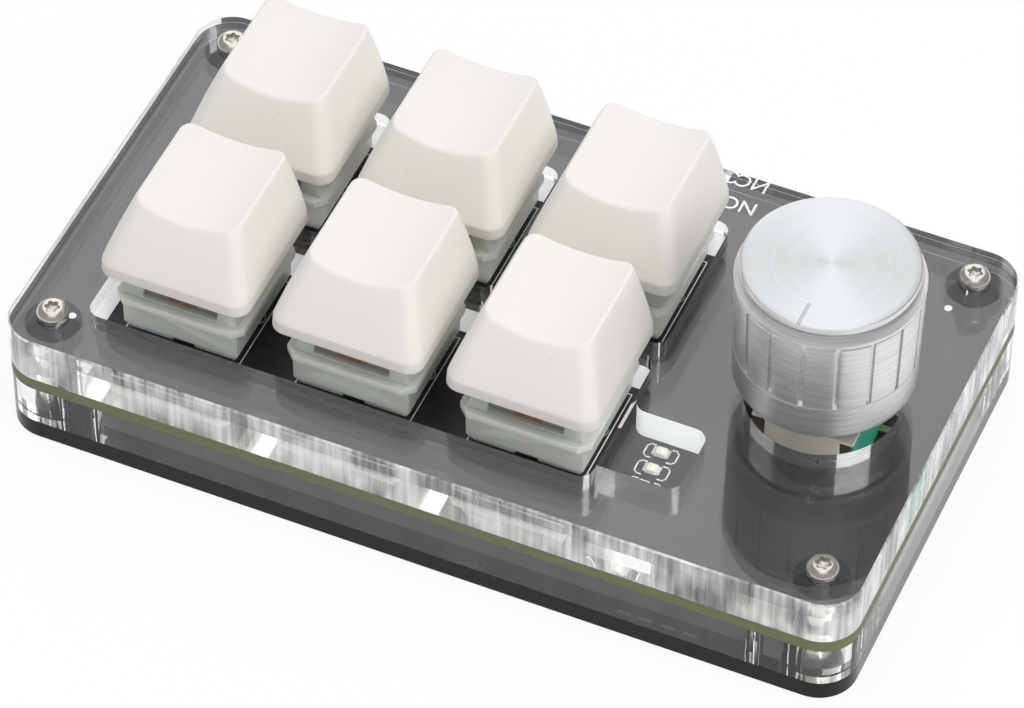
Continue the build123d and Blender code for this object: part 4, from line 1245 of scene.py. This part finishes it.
class KEYPAD_OT_fasteners(bpy.types.Operator):
    """Spreads the case screws to the four corners and dresses the standoffs"""

    bl_idname = "keypad.fasteners"
    bl_label = "Screws and standoffs"

    def execute(self, context):
        finishes(context)
        sizes = sizes_mm(context)
        spacing = 2 * screw_corner()
        top_tip = corners_mm("top_screws")[0][2] + 0.02
        bottom_seat, bottom_tip = (corner[2] for corner in corners_mm("bottom_screws"))
        for node, maker, seat_z, tip_z, seed in (
            ("top_screws", pan_screw, case_top, top_tip, 4),
            ("bottom_screws", flat_screw, bottom_seat, bottom_tip, 9),
        ):
            pattern = new_piece(f"{node}_pattern", *maker(sizes, seat_z, tip_z), ["Nickel"], 38)
            piece = four_corner_field(f"threaded_{node}", pattern, spacing, "Nickel", seed)
            seat(piece, "case", "screw_steel", node)
        dress("standoffs", "Standoff metal")
        return {"FINISHED"}


# Small parts

class KEYPAD_OT_small_parts(bpy.types.Operator):
    """Adds the lamps and dresses the port, the slide switch and the parts under the board"""

    bl_idname = "keypad.small_parts"
    bl_label = "Lamps, port and small parts"

    def execute(self, context):
        finishes(context)
        self.lamps()
        self.tongue()
        for node, name_of in (("usb_shell", "Shell steel"), ("usb_tongue", "Black moulding"),
                              ("power_switch_body", "Shell steel"), ("power_switch_lever", "Black moulding"),
                              ("power_switch_pins", "Shell steel"), ("microcontroller", "Black moulding"),
                              ("crystal", "Shell steel"), ("small_parts", "Chip ceramic")):
            dress(node, name_of)
        return {"FINISHED"}

    def lamps(self):
        """Three surface lamps: a pale block, metal ends and a small lens."""
        low, high = corners_mm("status_leds")
        x, z = (low[0] + high[0]) / 2, low[2]
        first, step = (x, low[1] + LAMP_HALF, z), (0, (high[1] - low[1]) / 2 - LAMP_HALF, 0)
        block = joined([brick((-0.98, -0.6, 0.0), (0.98, 0.6, 0.28), 0.03),
                        brick((-0.62, -0.56, 0.26), (0.62, 0.56, 0.62), 0.1)])
        ends = joined([brick((-1.0, -0.62, 0.0), (-0.7, 0.62, 0.3), 0.02),
                       brick((0.7, -0.62, 0.0), (1.0, 0.62, 0.3), 0.02)])
        lens = brick((-0.3, -0.3, 0.6), (0.3, 0.3, 0.72), 0.12)
        pieces = []
        for name, shape, name_of in (("lamp_blocks", block, "Lamp body"), ("lamp_ends", ends, "Shell steel"),
                                     ("lamp_lenses", lens, "Lamp lens")):
            pattern = new_piece(f"{name}_pattern", *shape, [name_of])
            piece = row_field(name, pattern, first, step, 3, name_of)
            pieces.append(piece)
        seat(pieces[0], "case", "lamp_body", "status_leds")
        for piece in pieces[1:]:
            seat(piece, "case", "lamp_body")

    def tongue(self):
        """Gold strips on both faces of the port's tongue."""
        low, high = corners_mm("usb_tongue")
        y0, y1 = high[1] - 3.6, high[1] - 0.4
        strip = joined([brick((-0.12, y0, high[2] - 0.01), (0.12, y1, high[2] + 0.02), 0.005),
                        brick((-0.12, y0, low[2] - 0.02), (0.12, y1, low[2] + 0.01), 0.005)])
        pattern = new_piece("port_strips_pattern", *strip, ["Gold contact"])
        x = (low[0] + high[0]) / 2
        strips = row_field("port_strips", pattern, (x - 2.75, 0, 0), (0.5, 0, 0), 12, "Gold contact")
        seat(strips, "case", "contact_metal")


# Stage

class KEYPAD_OT_stage(bpy.types.Operator):
    """Adds the pale floor, the soft lights and the camera"""

    bl_idname = "keypad.stage"
    bl_label = "Stage"

    def execute(self, context):
        scene = context.scene
        studio = scene.keypad_studio
        scene.view_settings.view_transform = "Standard"
        self.floor()
        self.world(studio)
        self.lamp("key_softbox", (-0.42, -0.10, 0.75), 0.55, studio.key_power)
        self.lamp("fill_softbox", (0.58, -0.18, 0.78), 0.6, studio.fill_power)
        self.camera(studio)
        return {"FINISHED"}

    def floor(self):
        """A wide pale floor that shows white and keeps the shadow."""
        size = 6.0
        mesh = bpy.data.meshes.new("floor")
        corners = [(-size, -size, 0), (size, -size, 0), (size, size, 0), (-size, size, 0)]
        mesh.from_pydata(corners, [], [(0, 1, 2, 3)])
        piece = linked("floor", mesh)
        f = Finish("Studio floor", (0.9, 0.9, 0.9), 0.9)
        grain = f.noise(f.place(), 0.02, 3)
        f.vary("Base Color", f.blend(grain, (0.89, 0.89, 0.89), (0.91, 0.91, 0.91)))
        seen = f.make("ShaderNodeLightPath")
        share = f.sum("MINIMUM", seen + seen.other(3) + seen.other(6), 1.0) * 0.9
        f.covered(share, "ShaderNodeEmission", {0: (1, 1, 1, 1), 1: 1.0})
        mesh.materials.append(f.material)

    def world(self, studio):
        """White where it is seen; as a light, a bright bank behind and above, dimmer sides and front."""
        world = bpy.data.worlds.new("Studio")
        world.use_nodes = True
        bpy.context.scene.world = world
        w = Graph(world.node_tree)
        background = world.node_tree.nodes["Background"]
        toward = w.make("ShaderNodeTexCoord")
        turned = w.make("ShaderNodeVectorRotate", {"rotation_type": "Z_AXIS"}, {
            "Vector": toward, "Angle": -studio.azimuth,
        })
        aside, back = w.parts(turned)[:2]
        bank = w.ramp(abs(aside), studio.bank_edge + 0.06, studio.bank_edge - 0.06)
        behind = w.ramp(back, -0.62, -0.30)
        mirrored = studio.front_level + behind * (
            studio.side_level - studio.front_level + bank * (studio.bank_level - studio.side_level))
        seen = w.make("ShaderNodeLightPath")
        w.feed(background.inputs["Color"], w.blend(seen, (0.975, 0.99, 1.0), (1, 1, 1)))
        w.feed(background.inputs["Strength"], seen + (1.0 - seen) * mirrored)

    def lamp(self, name, place, size, power):
        """A square softbox aimed at the keypad."""
        light = bpy.data.lights.new(name, "AREA")
        light.shape = "SQUARE"
        light.size = size
        light.energy = power
        lamp = linked(name, light)
        lamp.visible_glossy = False
        lamp.location = place
        lamp.rotation_euler = (Vector((0, 0, 0.01)) - Vector(place)).to_track_quat("-Z", "Y").to_euler()

    def camera(self, studio):
        """The photograph's view."""
        az, el, roll = studio.azimuth, studio.elevation, studio.roll
        view = Vector((-sin(az) * cos(el), cos(az) * cos(el), -sin(el)))
        right = Vector((cos(az), sin(az), 0))
        up = right.cross(view)
        side = cos(roll) * right + sin(roll) * up
        top = -sin(roll) * right + cos(roll) * up
        eye = Vector(studio.aim) - view * studio.distance
        data = bpy.data.cameras.new("photo_camera")
        data.lens = studio.lens
        data.sensor_width = 36
        data.clip_start = 0.01
        camera = linked("photo_camera", data)
        turn = Matrix((side, top, -view)).transposed()
        camera.matrix_world = Matrix.Translation(eye) @ turn.to_4x4()
        bpy.context.scene.camera = camera


PIECES = (
    KEYPAD_OT_plates, KEYPAD_OT_board, KEYPAD_OT_keycaps, KEYPAD_OT_switches, KEYPAD_OT_knob,
    KEYPAD_OT_fasteners, KEYPAD_OT_small_parts, KEYPAD_OT_stage,
)


class KEYPAD_PT_sidebar(bpy.types.Panel):
    """Lists the pieces of the keypad and their settings"""

    bl_idname = "KEYPAD_PT_sidebar"
    bl_label = "Keypad"
    bl_space_type = "VIEW_3D"
    bl_region_type = "UI"
    bl_category = "Keypad"

    def draw(self, context):
        column = self.layout.column()
        for operator in PIECES:
            column.operator(operator.bl_idname)
        for group in ("keypad_sizes", "keypad_colours", "keypad_studio"):
            settings = getattr(context.scene, group)
            for key in settings.__annotations__:
                column.prop(settings, key)


CLASSES = (KeypadSizes, KeypadColours, KeypadStudio, *PIECES, KEYPAD_PT_sidebar)


def register():
    for cls in CLASSES:
        bpy.utils.register_class(cls)
    bpy.types.Scene.keypad_sizes = bpy.props.PointerProperty(type=KeypadSizes)
    bpy.types.Scene.keypad_colours = bpy.props.PointerProperty(type=KeypadColours)
    bpy.types.Scene.keypad_studio = bpy.props.PointerProperty(type=KeypadStudio)


def unregister():
    del bpy.types.Scene.keypad_studio
    del bpy.types.Scene.keypad_colours
    del bpy.types.Scene.keypad_sizes
    for cls in reversed(CLASSES):
        bpy.utils.unregister_class(cls)


def main():
    register()
    bpy.ops.keypad.plates()
    bpy.ops.keypad.board()
    bpy.ops.keypad.keycaps()
    bpy.ops.keypad.switches()
    bpy.ops.keypad.knob()
    bpy.ops.keypad.fasteners()
    bpy.ops.keypad.small_parts()
    bpy.ops.keypad.stage()
    bpy.context.view_layer.update()


if __name__ == "__main__":
    main()
